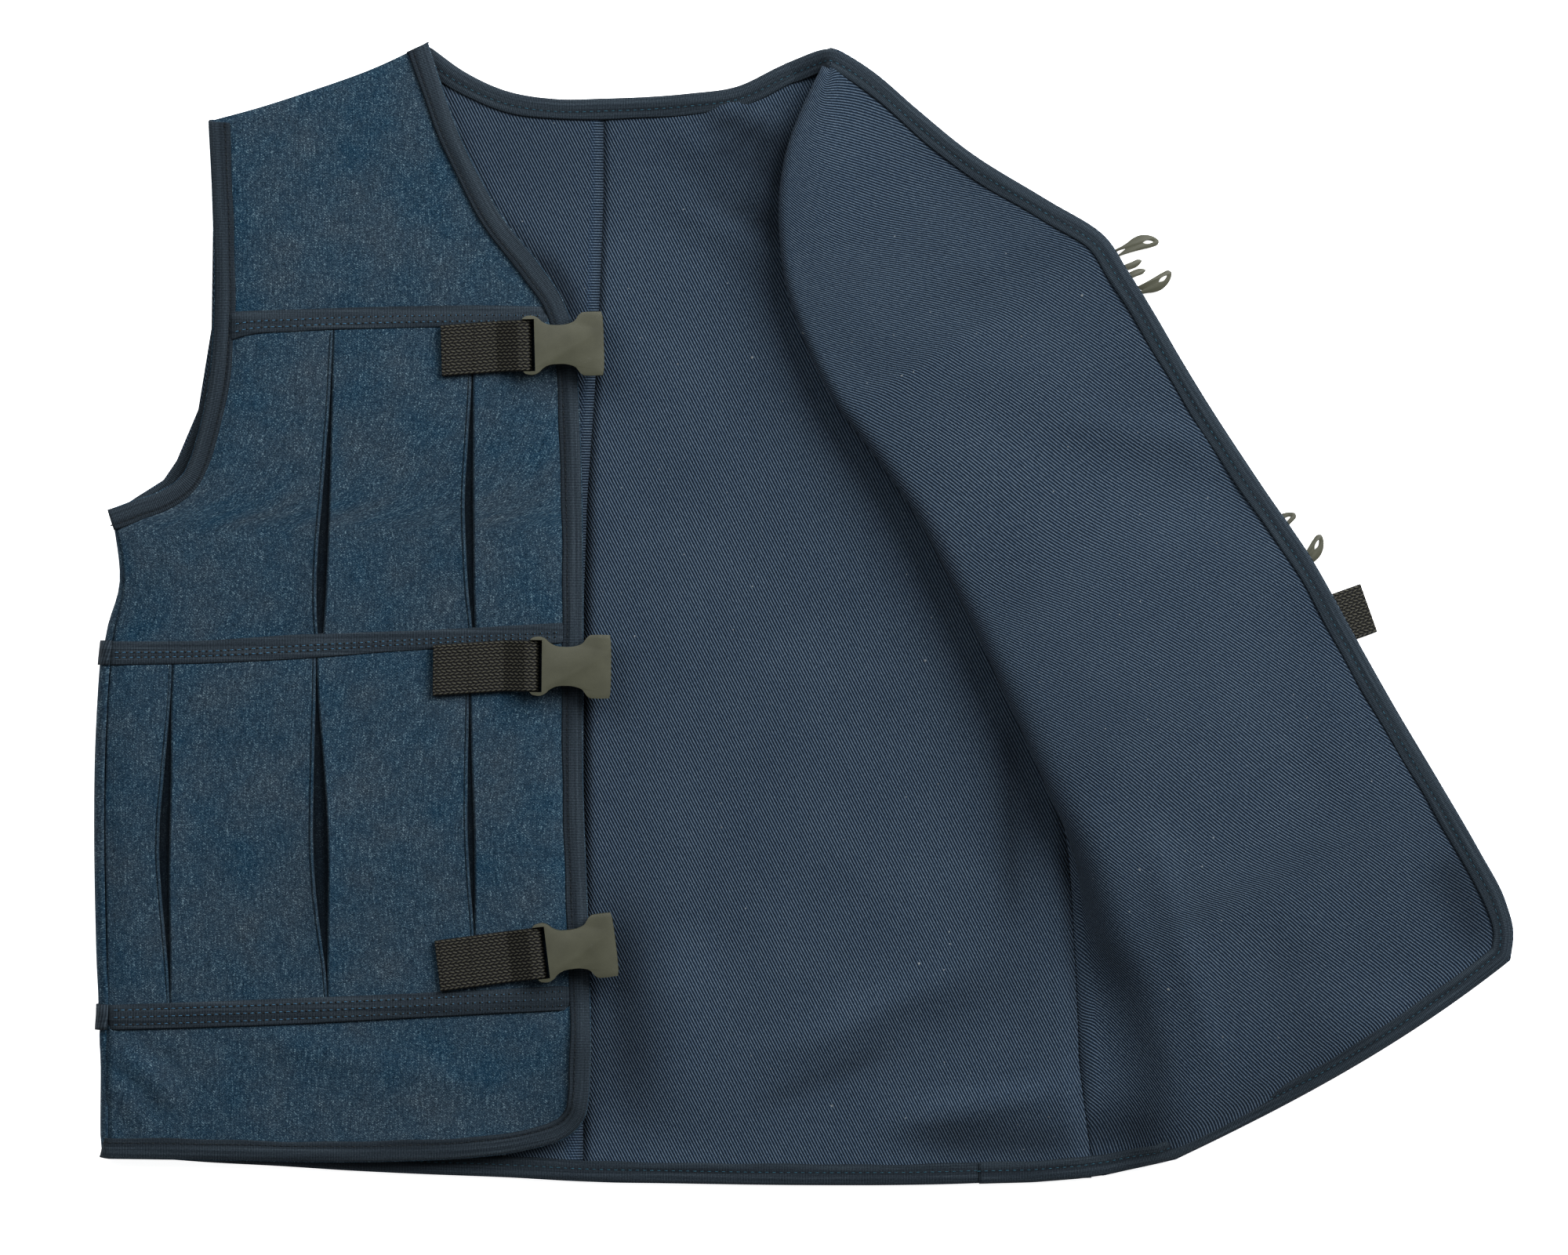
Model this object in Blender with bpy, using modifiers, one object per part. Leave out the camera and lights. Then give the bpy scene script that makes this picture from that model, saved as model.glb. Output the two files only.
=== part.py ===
"""A denim vest for weights, lying on its back: the right front closed, the left front turned back.

Blender works in metres with +Z up. The tables are in millimetres: +X towards the wearer's left, +Y
towards the neck, and z = 0 is the surface that the vest lies on. Left and right are the wearer's.
"""

import math

import bmesh
import bpy
import numpy as np
from mathutils import Matrix, Vector
from mathutils.bvhtree import BVHTree

MM = 0.001

# Every cloth layer is one wall, and touching layers keep a small gap
WALL = 1.0
GAP = 0.3
STEP = WALL + GAP
LINING, SHELL, POCKET, BAND = (k * STEP for k in range(4))
CLOTH = STEP + WALL

# The binding tape folds round each edge, from the lining to the shell
TAPE_WIDTH = 10.0
TAPE_GAP = 0.4
POCKET_INSET = 0.8

# Inner faces of the two halves: the back lies on its bands, and the body hollow is between them
BACK_FACE = BAND + WALL
HOLLOW = 6.1
FRONT_FACE = BACK_FACE + HOLLOW
SIDE_RADIUS = HOLLOW / 2

# Webbing is 25 mm wide, sewn double and looped round a buckle's bar
WEBBING_WIDTH = 25.0
WEBBING_WALL = 1.3
WEBBING_LEG = WEBBING_WALL + GAP
LOOP_RADIUS = 2.6
STRAP_FACE = FRONT_FACE + BAND + STEP

BUCKLE_THICK = 9.0
BUCKLE_LENGTH = 39.5
PLATE = 1.6
BAR = 2.4
BAR_PLACE = 1.2
MOUTH_HALF_WIDTH = 12.5
MOUTH_START = 14.0
PLUG_THICK = 8.0
PLUG_BLOCK = 14.0
PRONG_THICK = 4.6
FLOOR_GAP = 0.3
BUCKLE_HEIGHT = STRAP_FACE + BUCKLE_THICK / 2
PLUG_HEIGHT = FLOOR_GAP + PLUG_THICK / 2

# Where the middle of the finished outline lies in the tables' millimetres
OUTLINE_CENTRE = (0.06, -1.1)


def table(names, *rows):
    """One array for each named column."""
    return dict(zip(names.split(), np.array(rows, float).T))


# The closed right front: each row runs from the side seam or armhole to the front edge or neckline
RIGHT_FRONT = table(
    "side_x side_y edge_x edge_y sag",
    (-339.1, -266.5, -112.5, -255.0, -7.5),
    (-340.3, -256.5, -107.0, -243.0, -6.0),
    (-340.7, -235.0, -105.4, -222.0, -2.0),
    (-341.1, -165.0, -105.5, -165.0, 0.0),
    (-342.1, -84.0, -108.1, -84.0, 0.0),
    (-337.9, -12.0, -108.1, -12.0, 0.0),
    (-330.9, 16.0, -108.3, 16.0, 0.0),
    (-333.4, 51.5, -108.6, 44.0, 0.0),
    (-326.0, 57.5, -108.8, 64.0, 0.0),
    (-307.7, 73.1, -109.3, 84.0, 0.0),
    (-300.2, 85.4, -110.0, 100.0, 0.0),
    (-294.2, 105.0, -111.5, 122.0, 0.0),
    (-288.7, 135.0, -113.8, 144.2, 0.0),
    (-288.7, 153.8, -129.6, 171.2, 0.0),
    (-289.1, 178.0, -146.9, 193.1, 0.0),
    (-289.6, 203.1, -158.5, 214.3, 0.0),
    (-290.6, 222.0, -170.0, 238.2, 0.0),
    (-291.4, 235.0, -182.3, 273.5, 0.0),
)
RIGHT_SHOULDER = table("x y", (-291.5, 240.8), (-184.2, 279.2))
RIGHT_UNDERARM_ROW = 7

# The flat back before its right side wraps up to the side seam: rows from the right side to the left
BACK = table(
    "right_x right_y left_x left_y rise",
    (-339.3, -265.0, 140.6, -278.8, 0.0),
    (-340.5, -255.0, 140.2, -268.8, 0.019),
    (-341.5, -222.0, 134.8, -222.0, 0.1),
    (-341.3, -165.0, 132.2, -165.0, 0.25),
    (-342.3, -84.0, 126.8, -84.0, 0.42),
    (-338.1, -12.0, 126.0, -12.0, 0.55),
    (-331.1, 16.0, 128.0, 16.0, 0.62),
    (-334.7, 49.0, 133.0, 49.0, 0.68),
    (-330.5, 55.0, 112.0, 58.0, 0.72),
    (-327.5, 58.0, 107.0, 61.0, 0.73),
    (-311.0, 75.0, 88.0, 74.0, 0.77),
    (-299.0, 100.0, 66.0, 96.0, 0.82),
    (-290.5, 140.0, 42.0, 132.0, 0.87),
    (-289.8, 190.0, 27.0, 172.0, 0.92),
    (-291.2, 231.0, 15.2, 267.5, 0.981),
    (-291.5, 240.8, 13.1, 277.5, 1.0),
)
BACK_UNDERARM_ROW = 7
WRAP_COLUMNS = 4
WRAP_TURNS = np.linspace(math.pi, 0, WRAP_COLUMNS + 1)[:-1]
BACK_COLUMNS = table(
    "top_x top_y hem_x hem_y",
    (-291.5, 240.8, -339.3, -265.0),
    (-240.0, 259.2, -291.5, -268.8),
    (-184.2, 279.2, -257.3, -271.5),
    (-166.5, 265.6, -223.1, -275.0),
    (-146.9, 256.5, -186.2, -276.9),
    (-122.3, 252.3, -145.0, -277.5),
    (-98.5, 252.5, -108.5, -278.2),
    (-56.2, 255.0, -60.0, -279.2),
    (-34.0, 258.1, 0.0, -280.0),
    (-10.0, 269.2, 60.0, -279.4),
    (13.1, 277.5, 140.6, -278.8),
)
CENTRE_SEAM_COLUMN = 6
CENTRE_SEAM = table(
    "y x", (-278.2, -108.5), (6.9, -108.1), (55.8, -106.5), (110.0, -102.7), (153.8, -100.4),
    (203.0, -98.5), (252.5, -98.5),
)

# The left front, turned back over its own armhole: each row starts at the side seam or armhole, runs
# under to the foot of the roll, round the roll's nose and over to the front edge or neckline.
# level is the height of that row on the closed vest, foot and crest are distances from the nose
LEFT_FRONT = table(
    "level seam_x seam_y seam_z nose_x nose_y foot foot_z crest crest_z edge_x edge_y edge_z",
    (-266, 141.5, -277.0, 5.2, 163, -272, -16, 5.2, 20, 11.0, 346.5, -168.5, 4.0),
    (-256, 141.2, -266.5, 5.2, 164, -262, -16, 5.2, 20, 13.5, 348.0, -158.0, 4.0),
    (-235, 138.2, -243.0, 5.2, 171, -234, -18, 5.2, 19, 18.0, 342.5, -142.0, 5.0),
    (-200, 135.4, -208.0, 5.2, 170, -190, -18, 5.2, 18, 23.0, 329.0, -116.0, 8.0),
    (-160, 133.4, -168.0, 5.2, 155, -158, -11, 6.2, 16, 28.0, 309.5, -82.0, 11.5),
    (-120, 131.6, -127.0, 5.2, 138, -124, -2, 8.4, 14, 32.0, 289.0, -46.0, 12.5),
    (-80, 126.0, -86.0, 5.4, 119, -83, 7, 12.8, 13, 34.0, 269.0, -10.5, 12.0),
    (-40, 124.0, -46.0, 5.4, 106, -54, 12, 9.2, 13.5, 34.8, 248.7, 26.0, 12.5),
    (5, 124.0, -4.0, 5.2, 90, -20, 13.5, 8.2, 13.5, 34.8, 223.0, 64.0, 11.0),
    (51, 130.0, 42.0, 6.4, 74, 12, 13, 8.2, 13, 33.8, 196.6, 104.4, 10.5),
    (75, 91.0, 68.5, 8.2, 57.5, 44, 12.5, 8.2, 12.5, 32.8, 184.0, 125.0, 11.5),
    (100, 62.0, 83.5, 8.2, 41, 68.5, 12, 8.2, 12, 31.8, 171.0, 147.3, 12.5),
    (125, 47.0, 99.0, 8.2, 27, 87.5, 11.5, 8.2, 11.5, 30.8, 158.0, 168.0, 12.5),
    (147, 36.0, 113.0, 8.2, 15.5, 103, 11, 8.2, 11, 29.8, 145.8, 185.8, 12.5),
    (171, 24.5, 136.0, 8.2, 2, 130, 10.5, 8.2, 10.5, 28.8, 119.0, 202.4, 11.5),
    (210, 13.0, 170.0, 8.2, -10.3, 172.5, 10, 8.2, 10, 27.8, 78.7, 227.7, 10.0),
    (235, 12.5, 200.0, 8.2, -11.3, 207, 9, 8.2, 9, 25.8, 54.0, 248.0, 10.5),
    (255, 17.0, 226.0, 8.2, -6.0, 233, 8, 8.2, 8, 23.8, 34.0, 265.0, 12.5),
    (272, 21.0, 252.0, 8.2, 4.5, 258, 7, 8.2, 7, 21.8, 17.5, 276.5, 16.0),
)
LEFT_LEVELS = (
    -266, -256, -235, -203, -190, -150, -105, -60, -24, -11, 20, 51, 75, 100, 136, 147, 171, 210,
    255, 272,
)
UNDER_STEPS = (0.0, 0.45)
NOSE_STEPS = 5
OVER_STEPS = (0.2, 0.45, 0.7)

# Bands of wide tape across the right front, then the same heights on the back
UPPER_BAND = table(
    "x top low", (-276.9, 147.3, 135.0), (-247.3, 148.5, 138.1), (-198.5, 150.0, 139.9),
    (-149.2, 150.4, 140.6), (-119.0, 149.2, 140.5),
)
MIDDLE_BAND = table(
    "x top low", (-337.6, -13.8, -25.0), (-296.5, -13.5, -24.2), (-247.3, -10.4, -21.9),
    (-198.5, -8.8, -18.1), (-118.5, -4.6, -14.0),
)
LOWER_BAND = table(
    "x top low", (-341.0, -191.5, -203.5), (-296.5, -190.0, -202.2), (-247.3, -188.1, -200.4),
    (-173.8, -185.0, -196.5), (-116.0, -181.9, -193.5),
)
BACK_BAND_ROWS = table("top low", (-13.0, -25.0), (-191.0, -203.5))

# Each pleated pocket of the right front hangs from one band to the next
UPPER_POCKET = table(
    "y crown", (145.0, 0.0), (134.0, 0.0), (116.0, 0.5), (102.7, 0.9), (81.5, 1.0), (66.3, 1.0),
    (49.7, 1.0), (43.0, 1.0), (16.0, 0.7), (-3.0, 0.0), (-17.0, 0.0),
)
LOWER_POCKET = table(
    "y crown", (-19.5, 0.0), (-26.0, 0.0), (-45.0, 0.5), (-75.0, 1.0), (-110.0, 1.0),
    (-140.0, 0.5), (-180.5, 0.0), (-190.0, 0.0),
)
POCKET_CROWN = 2.6
UPPER_PLEATS = table("top_x low_x gape", (-230.2, -236.5, 2.2), (-162.6, -162.2, 2.2))
LOWER_PLEATS = table(
    "top_x low_x gape", (-308.8, -310.0, 2.4), (-238.5, -233.5, 3.0), (-163.5, -161.5, 2.2)
)

# Straps and the socket halves of the buckles on the right front
RIGHT_STRAPS = table(
    "start_x start_y length turn buckle_turn", (-177.3, 127.7, 41.2, 4.4, 1.5),
    (-181.3, -28.7, 48.7, 3.7, -0.5), (-179.2, -173.5, 49.5, 7.6, 7.0),
)
# Straps and the plug halves under the left front, given by the plug's bar end
LEFT_STRAPS = table(
    "bar_x bar_y length turn", (141.0, 160.6, 42.0, 22.0), (222.3, 14.2, 42.0, 50.5),
    (256.0, -93.0, 42.0, 30.0),
)
TAIL = {"end_x": 276.7, "end_y": 2.9, "length": 44.0, "turn": 19.5}

# Half outlines: distance from the webbing end, and half the width there
SOCKET_OUTLINE = table(
    "along half", (0.0, 12.9), (1.2, 14.0), (5.1, 14.4), (7.6, 13.3), (9.4, 11.6), (12.5, 10.0),
    (17.0, 9.5), (22.0, 9.9), (25.4, 11.2), (28.0, 14.7), (29.6, 15.5), (38.7, 15.5),
)
PRONG_OUTLINE = table(
    "along side", (12.0, 11.4), (14.0, 12.0), (20.0, 12.7), (27.0, 13.2), (33.0, 12.2),
    (37.2, 9.6), (38.0, 8.1), (36.5, 7.2), (31.0, 7.0), (24.0, 7.6), (16.0, 8.9), (12.0, 9.2),
)
PRONG_WINDOW = table("along side", (30.0, 10.6), (34.0, 10.2), (35.6, 8.9), (31.5, 8.5))
GUIDE_OUTLINE = table("along side", (12.0, 4.4), (25.0, 4.4), (26.4, 2.2), (12.0, 2.0))

# Base colour, roughness and metallic value of each finish
FINISHES = {
    "denim": ((0.022, 0.060, 0.118, 1.0), 0.9, 0.0),
    "twill": ((0.022, 0.036, 0.068, 1.0), 0.85, 0.0),
    "tape": ((0.013, 0.024, 0.048, 1.0), 0.8, 0.0),
    "webbing": ((0.012, 0.012, 0.011, 1.0), 0.85, 0.0),
    "buckle": ((0.040, 0.040, 0.032, 1.0), 0.45, 0.0),
}


def collection(name):
    made = bpy.data.collections.new(name)
    bpy.context.scene.collection.children.link(made)
    return made


def finish(name):
    """The material of this name, made once."""
    if name in bpy.data.materials:
        return bpy.data.materials[name]
    color, roughness, metallic = FINISHES[name]
    material = bpy.data.materials.new(name)
    material.use_nodes = True
    shader = material.node_tree.nodes["Principled BSDF"]
    shader.inputs["Base Color"].default_value = color
    shader.inputs["Roughness"].default_value = roughness
    shader.inputs["Metallic"].default_value = metallic
    return material


def add_object(name, mesh, finish_name, into):
    obj = bpy.data.objects.new(name, mesh)
    into.objects.link(obj)
    if finish_name:
        mesh.materials.append(finish(finish_name))
    return obj


def smooth_rows(levels, sections, at):
    """Every column of a table of sections, read at other levels along smooth curves."""
    slopes = {key: np.gradient(values, levels) for key, values in sections.items()}
    row = np.clip(np.searchsorted(levels, at, "right") - 1, 0, len(levels) - 2)
    span = levels[row + 1] - levels[row]
    t = (at - levels[row]) / span
    near, far = 2 * t**3 - 3 * t**2 + 1, 3 * t**2 - 2 * t**3
    near_slope, far_slope = (t**3 - 2 * t**2 + t) * span, (t**3 - t**2) * span
    return {
        key: near * values[row] + far * values[row + 1]
        + near_slope * slopes[key][row] + far_slope * slopes[key][row + 1]
        for key, values in sections.items()
    }


class Panel:
    """A grid of points on a panel's inner face, and the directions from there to its denim side."""

    def __init__(self, points, denim_side):
        self.points = points
        self.side = denim_side
        across = np.gradient(points, axis=1)
        along = np.gradient(points, axis=0)
        normals = np.cross(across, along)
        self.out = denim_side * normals / np.linalg.norm(normals, axis=2, keepdims=True)

    def offset(self, distance, rows=slice(None), columns=slice(None)):
        return (self.points + distance * self.out)[rows, columns]


def sheet(name, points, side, wall, finish_name, into, even=False):
    """A wall built on a grid of points, towards the side where its normals point (1) or away (-1)."""
    rows, columns, _ = points.shape
    bm = bmesh.new()
    bmesh.ops.create_grid(bm, x_segments=columns - 1, y_segments=rows - 1, size=1)
    bm.verts.ensure_lookup_table()
    for vert, point in zip(bm.verts, points.reshape(-1, 3)):
        vert.co = Vector(point) * MM
    mesh = bpy.data.meshes.new(name)
    bm.to_mesh(mesh)
    bm.free()
    obj = add_object(name, mesh, finish_name, into)
    solidify = obj.modifiers.new("Wall", "SOLIDIFY")
    solidify.thickness = wall * MM
    solidify.offset = side
    solidify.use_even_offset = even
    return obj


def layer(name, panel, start, finish_name, into, rows=slice(None), columns=slice(None)):
    """One cloth layer of a panel, its inner face at this distance from the panel's."""
    return sheet(name, panel.offset(start, rows, columns), panel.side, WALL, finish_name, into)


def tape(name, edge, inner, out, finish_name, into):
    """Binding tape folded round an edge: the points on the edge and TAPE_WIDTH further in."""
    beyond = edge - inner
    beyond /= np.linalg.norm(beyond, axis=1, keepdims=True)
    rim = edge + beyond * TAPE_GAP
    above, below = out * (CLOTH + TAPE_GAP), out * TAPE_GAP
    section = np.stack((inner + above, rim + above, rim - below, inner - below), axis=1)
    first, second = section[:-1], section[1:]
    turn = np.cross(second[:, 0] - first[:, 0], first[:, 1] - first[:, 0])
    side = 1 if (turn * out[:-1]).sum() < 0 else -1
    return sheet(name, section, side, WALL, finish_name, into, even=True)


def flat_run(panel, rows, columns, inward):
    """Matching points for tape() on a flat edge: on it, and square to it TAPE_WIDTH further in."""
    edge = panel.points[rows, columns]
    run = np.gradient(edge, axis=0)
    square = inward * np.column_stack((-run[:, 1], run[:, 0], np.zeros(len(run))))
    square /= np.linalg.norm(square, axis=1, keepdims=True)
    return edge, edge + TAPE_WIDTH * square, panel.out[rows, columns]


def round_run(panel, top_row):
    """Matching points for tape() from a front edge's top row down, round its corner and along the hem."""
    p = panel.points
    down = list(range(top_row, 0, -1))
    hem = list(range(p.shape[1] - 3, -1, -1))
    edge = np.concatenate((p[down, -1], p[:1, -1], p[:1, -2], p[0, hem]))
    inner = np.concatenate((p[down, -2], p[1:2, -2], p[1:2, -2], p[1, hem]))
    out = np.concatenate((panel.out[down, -1], panel.out[:1, -1], panel.out[:1, -2], panel.out[0, hem]))
    corner = len(down)
    inner[corner - 1] += 0.06 * (p[2, -2] - p[1, -2])
    inner[corner + 1] += 0.04 * (p[1, -3] - p[1, -2])
    return edge, inner, out


def column_places(lengths, steps, first_inset, last_inset):
    """Fractions across each row: fixed steps between two insets given in millimetres."""
    inner = np.array(steps)[None, :]
    start = (first_inset / lengths)[:, None]
    end = 1 - (last_inset / lengths)[:, None]
    zero, one = np.zeros_like(start), np.ones_like(start)
    return np.hstack((zero, start, start + (end - start) * inner, end, one))


def right_front_panel():
    t = RIGHT_FRONT
    side = np.stack((t["side_x"], t["side_y"]), axis=1)
    edge = np.stack((t["edge_x"], t["edge_y"]), axis=1)
    lengths = np.linalg.norm(edge - side, axis=1)
    places = column_places(lengths, (0.25, 0.5, 0.75), TAPE_WIDTH, TAPE_WIDTH)
    flat = side[:, None] + places[..., None] * (edge - side)[:, None]
    flat[..., 1] += t["sag"][:, None] * (1 - (2 * places - 1) ** 4)
    height = np.full(places.shape, FRONT_FACE)
    return Panel(np.dstack((flat, height)), 1)


def shoulder_lip(panel):
    """The shell's last rows, rounded down from the closed front to the back at the shoulder."""
    last = panel.offset(SHELL)[-1]
    span = np.linspace(0, 1, panel.points.shape[1])
    line = RIGHT_SHOULDER
    slope = math.atan2(line["y"][1] - line["y"][0], line["x"][1] - line["x"][0])
    x = np.interp(span, (0, 1), line["x"]) + (STEP + GAP) * math.sin(slope)
    y = np.interp(span, (0, 1), line["y"]) - (STEP + GAP) * math.cos(slope)
    low = BACK_FACE - SHELL + GAP
    rows = []
    for angle in np.radians((30, 60, 90)):
        out, down = math.sin(angle), 1 - math.cos(angle)
        rows.append(
            np.stack(
                (
                    last[:, 0] + (x - last[:, 0]) * out,
                    last[:, 1] + (y - last[:, 1]) * out,
                    last[:, 2] + (low - last[:, 2]) * down,
                ),
                axis=1,
            )
        )
    return np.array(rows)


def back_panel():
    """The back as a flat patch between its hem, sides and neckline, its right side wrapped up."""
    t, c = BACK, BACK_COLUMNS
    spans = np.hypot(np.diff(c["top_x"]), np.diff(c["top_y"]))
    u = np.concatenate(((0,), np.cumsum(spans))) / spans.sum()
    v = t["rise"][:, None]
    top = np.stack((c["top_x"], c["top_y"]), axis=1)[None]
    hem = np.stack((c["hem_x"], c["hem_y"]), axis=1)[None]
    right = np.stack((t["right_x"], t["right_y"]), axis=1)[:, None]
    left = np.stack((t["left_x"], t["left_y"]), axis=1)[:, None]
    u, v = u[None, :, None], v[..., None]
    corners = (1 - v) * ((1 - u) * hem[:, :1] + u * hem[:, -1:])
    corners = corners + v * ((1 - u) * top[:, :1] + u * top[:, -1:])
    flat = (1 - v) * hem + v * top + (1 - u) * right + u * left - corners
    # Every row is drawn sideways until its middle is on the centre seam
    seam = flat[:, CENTRE_SEAM_COLUMN]
    shift = np.interp(seam[:, 1], CENTRE_SEAM["y"], CENTRE_SEAM["x"]) - seam[:, 0]
    u, seam_u = u[0, :, 0], u[0, CENTRE_SEAM_COLUMN, 0]
    flat[..., 0] += shift[:, None] * np.minimum(u / seam_u, (1 - u) / (1 - seam_u))
    height = np.full(flat.shape[:2], BACK_FACE)
    points = np.dstack((flat, height))
    panel = Panel(np.concatenate((side_wrap(points), points), axis=1), -1)
    panel.out[:] = (0, 0, -1)
    for column, turn in enumerate(WRAP_TURNS):
        panel.out[: BACK_UNDERARM_ROW + 1, column] = (-math.sin(turn), 0, -math.cos(turn))
    return panel


def side_wrap(points):
    """The columns that carry the back's right side up round the side fold to the side seam."""
    wrapped = []
    for turn in WRAP_TURNS:
        column = points[:, 0].copy()
        column[:, 0] -= SIDE_RADIUS * math.sin(turn)
        column[:, 2] += SIDE_RADIUS * (1 - math.cos(turn))
        # Above the underarm the same columns lie flat, just inside the armhole's edge
        above = slice(BACK_UNDERARM_ROW + 1, None)
        inset = 0.5 * TAPE_WIDTH * (1 - turn / math.pi)
        inward = points[above, 1] - points[above, 0]
        inward /= np.linalg.norm(inward, axis=1, keepdims=True)
        column[above] = points[above, 0] + inward * inset
        wrapped.append(column)
    wrapped = np.array(wrapped).transpose(1, 0, 2)
    points[BACK_UNDERARM_ROW + 1 :, 0] += inward * 0.5 * TAPE_WIDTH
    return wrapped


def bezier(start, first, second, end, steps):
    t = np.array(steps)[None, :, None]
    start, first, second, end = (p[:, None] for p in (start, first, second, end))
    return (
        (1 - t) ** 3 * start + 3 * (1 - t) ** 2 * t * first + 3 * (1 - t) * t**2 * second + t**3 * end
    )


def left_front_panel(levels):
    sections = {key: values for key, values in LEFT_FRONT.items() if key != "level"}
    t = smooth_rows(LEFT_FRONT["level"], sections, np.array(levels, float))

    def point(x, y, z):
        return np.stack((x, y, z), axis=1)

    nose = np.stack((t["nose_x"], t["nose_y"]), axis=1)
    run = np.gradient(nose, axis=0)
    inward = np.stack((run[:, 1], -run[:, 0]), axis=1)
    inward /= np.linalg.norm(inward, axis=1, keepdims=True)
    foot_xy = nose + inward * t["foot"][:, None]
    crest_xy = nose + inward * t["crest"][:, None]
    pull_xy = (8 * nose - foot_xy - crest_xy) / 6
    seam = point(t["seam_x"], t["seam_y"], t["seam_z"])
    foot = np.column_stack((foot_xy, t["foot_z"]))
    crest = np.column_stack((crest_xy, t["crest_z"]))
    low_pull = np.column_stack((pull_xy, t["foot_z"]))
    high_pull = np.column_stack((pull_xy, t["crest_z"]))
    edge = point(t["edge_x"], t["edge_y"], t["edge_z"])
    reach = np.linalg.norm(edge - crest, axis=1, keepdims=True)
    ahead = crest - high_pull
    ahead /= np.linalg.norm(ahead, axis=1, keepdims=True)
    fall = edge - crest
    over_pull = crest + ahead * reach / 3
    edge_pull = edge - fall * 0.35 * np.array((1, 1, 0.45))
    under = seam[:, None] + np.array(UNDER_STEPS)[None, :, None] * (foot - seam)[:, None]
    nose_points = bezier(foot, low_pull, high_pull, crest, np.linspace(0, 1, NOSE_STEPS + 1))
    inset = np.minimum(TAPE_WIDTH / reach, 0.4)
    steps = np.array(OVER_STEPS)[None]
    over = []
    for place in np.hstack((steps * (1 - inset), 1 - inset, np.ones_like(inset))).T:
        place = place[:, None]
        over.append(
            (1 - place) ** 3 * crest + 3 * (1 - place) ** 2 * place * over_pull
            + 3 * (1 - place) * place**2 * edge_pull + place**3 * edge
        )
    over = np.array(over).transpose(1, 0, 2)
    return Panel(np.concatenate((under, nose_points, over), axis=1), -1)


def surface_of(grids):
    """Grids of points as one surface that can be measured from below."""
    points, faces = [], []
    for grid in grids:
        rows, columns, _ = grid.shape
        start = len(points)
        points += [Vector(point) for point in grid.reshape(-1, 3)]
        for r in range(rows - 1):
            for c in range(columns - 1):
                first = start + r * columns + c
                faces.append((first, first + 1, first + columns + 1, first + columns))
    return BVHTree.FromPolygons(points, faces)


def lowest_above(surface, middle, across):
    """The lowest height of the surface over a line through the middle, as far as it covers it."""
    heights = []
    for part in (-1, -0.5, 0, 0.5, 1):
        spot = middle + across * part
        found = surface.ray_cast(Vector((spot.x, spot.y, -100)), Vector((0, 0, 1)))[0]
        if found:
            heights.append(found.z)
    return min(heights)


def band(name, sections, height, side, into):
    points = np.array(
        [
            [(x, y, height) for x, y in zip(sections["x"], sections[edge])]
            for edge in ("low", "top")
        ]
    )
    return sheet(name, points, side, WALL, "tape", into)


def pleated_pocket(name, sections, pleats, lines, into):
    """A pocket between two lines, crowned between its pleats and dipping into a groove along each."""
    y = sections["y"]
    left_x, right_x = (np.interp(y, line[:, 1], line[:, 0]) for line in lines)
    left_x = left_x + POCKET_INSET
    right_x = right_x - POCKET_INSET
    fraction = (y - y[0]) / (y[-1] - y[0])
    open_share = np.sin(np.pi * fraction) ** 0.6
    columns = [(left_x, np.zeros_like(y))]
    for top_x, low_x, gape in zip(pleats["top_x"], pleats["low_x"], pleats["gape"]):
        middle = top_x + (low_x - top_x) * fraction
        width = 0.6 + gape * open_share
        columns += [(middle - width, sections["crown"]), (middle, 0 * y), (middle + width, sections["crown"])]
    columns.append((right_x, np.zeros_like(y)))
    places = [columns[0]]
    for here, there in zip(columns[:-1], columns[1:]):
        if np.abs(there[0] - here[0]).max() > 12:
            rise = np.maximum(here[1], there[1])
            places += [(here[0] + (there[0] - here[0]) * part, rise) for part in (0.15, 0.85)]
        places.append(there)
    base = FRONT_FACE + POCKET
    grid = np.array([[(px, py, base + POCKET_CROWN * c) for px, py, c in zip(x, y, crown)]
                     for x, crown in places])
    return sheet(name, grid, -1 if y[0] < y[-1] else 1, WALL, "denim", into)


def webbing(name, path, into, drift=0.0):
    """A ribbon of webbing along a path in its own x and z, its start drifted to one side."""
    half = WEBBING_WIDTH / 2
    straight = path[len(path) // 2 - 4][0] if drift else 1.0
    points = [
        [(x, y + drift * max(0.0, 1 - x / straight), z) for x, z in path] for y in (-half, half)
    ]
    return sheet(name, np.array(points), 0, WEBBING_WALL, "webbing", into, even=True)


def loop_path(start_x, heights, bar_x, bar_z):
    """Out along the lower leg, round the bar and back along the upper leg."""
    lower = [(x, z) for x, z in zip(start_x, heights)]
    upper = [(x, z + WEBBING_LEG) for x, z in zip(start_x, heights)]
    near = bar_x - 3.6
    angles = np.radians(np.linspace(-75, 75, 6))
    around = [(bar_x + LOOP_RADIUS * math.cos(a), bar_z + LOOP_RADIUS * math.sin(a)) for a in angles]
    return lower + [(near, bar_z - LOOP_RADIUS)] + around + [(near, bar_z + LOOP_RADIUS)] + upper[::-1]


def heading(turn):
    return Vector((math.cos(math.radians(turn)), math.sin(math.radians(turn))))


def place(obj, spot, z, turn):
    move = Matrix.Translation(Vector((spot.x, spot.y, z)) * MM)
    obj.matrix_world = move @ Matrix.Rotation(math.radians(turn), 4, "Z")
    return obj


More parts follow.
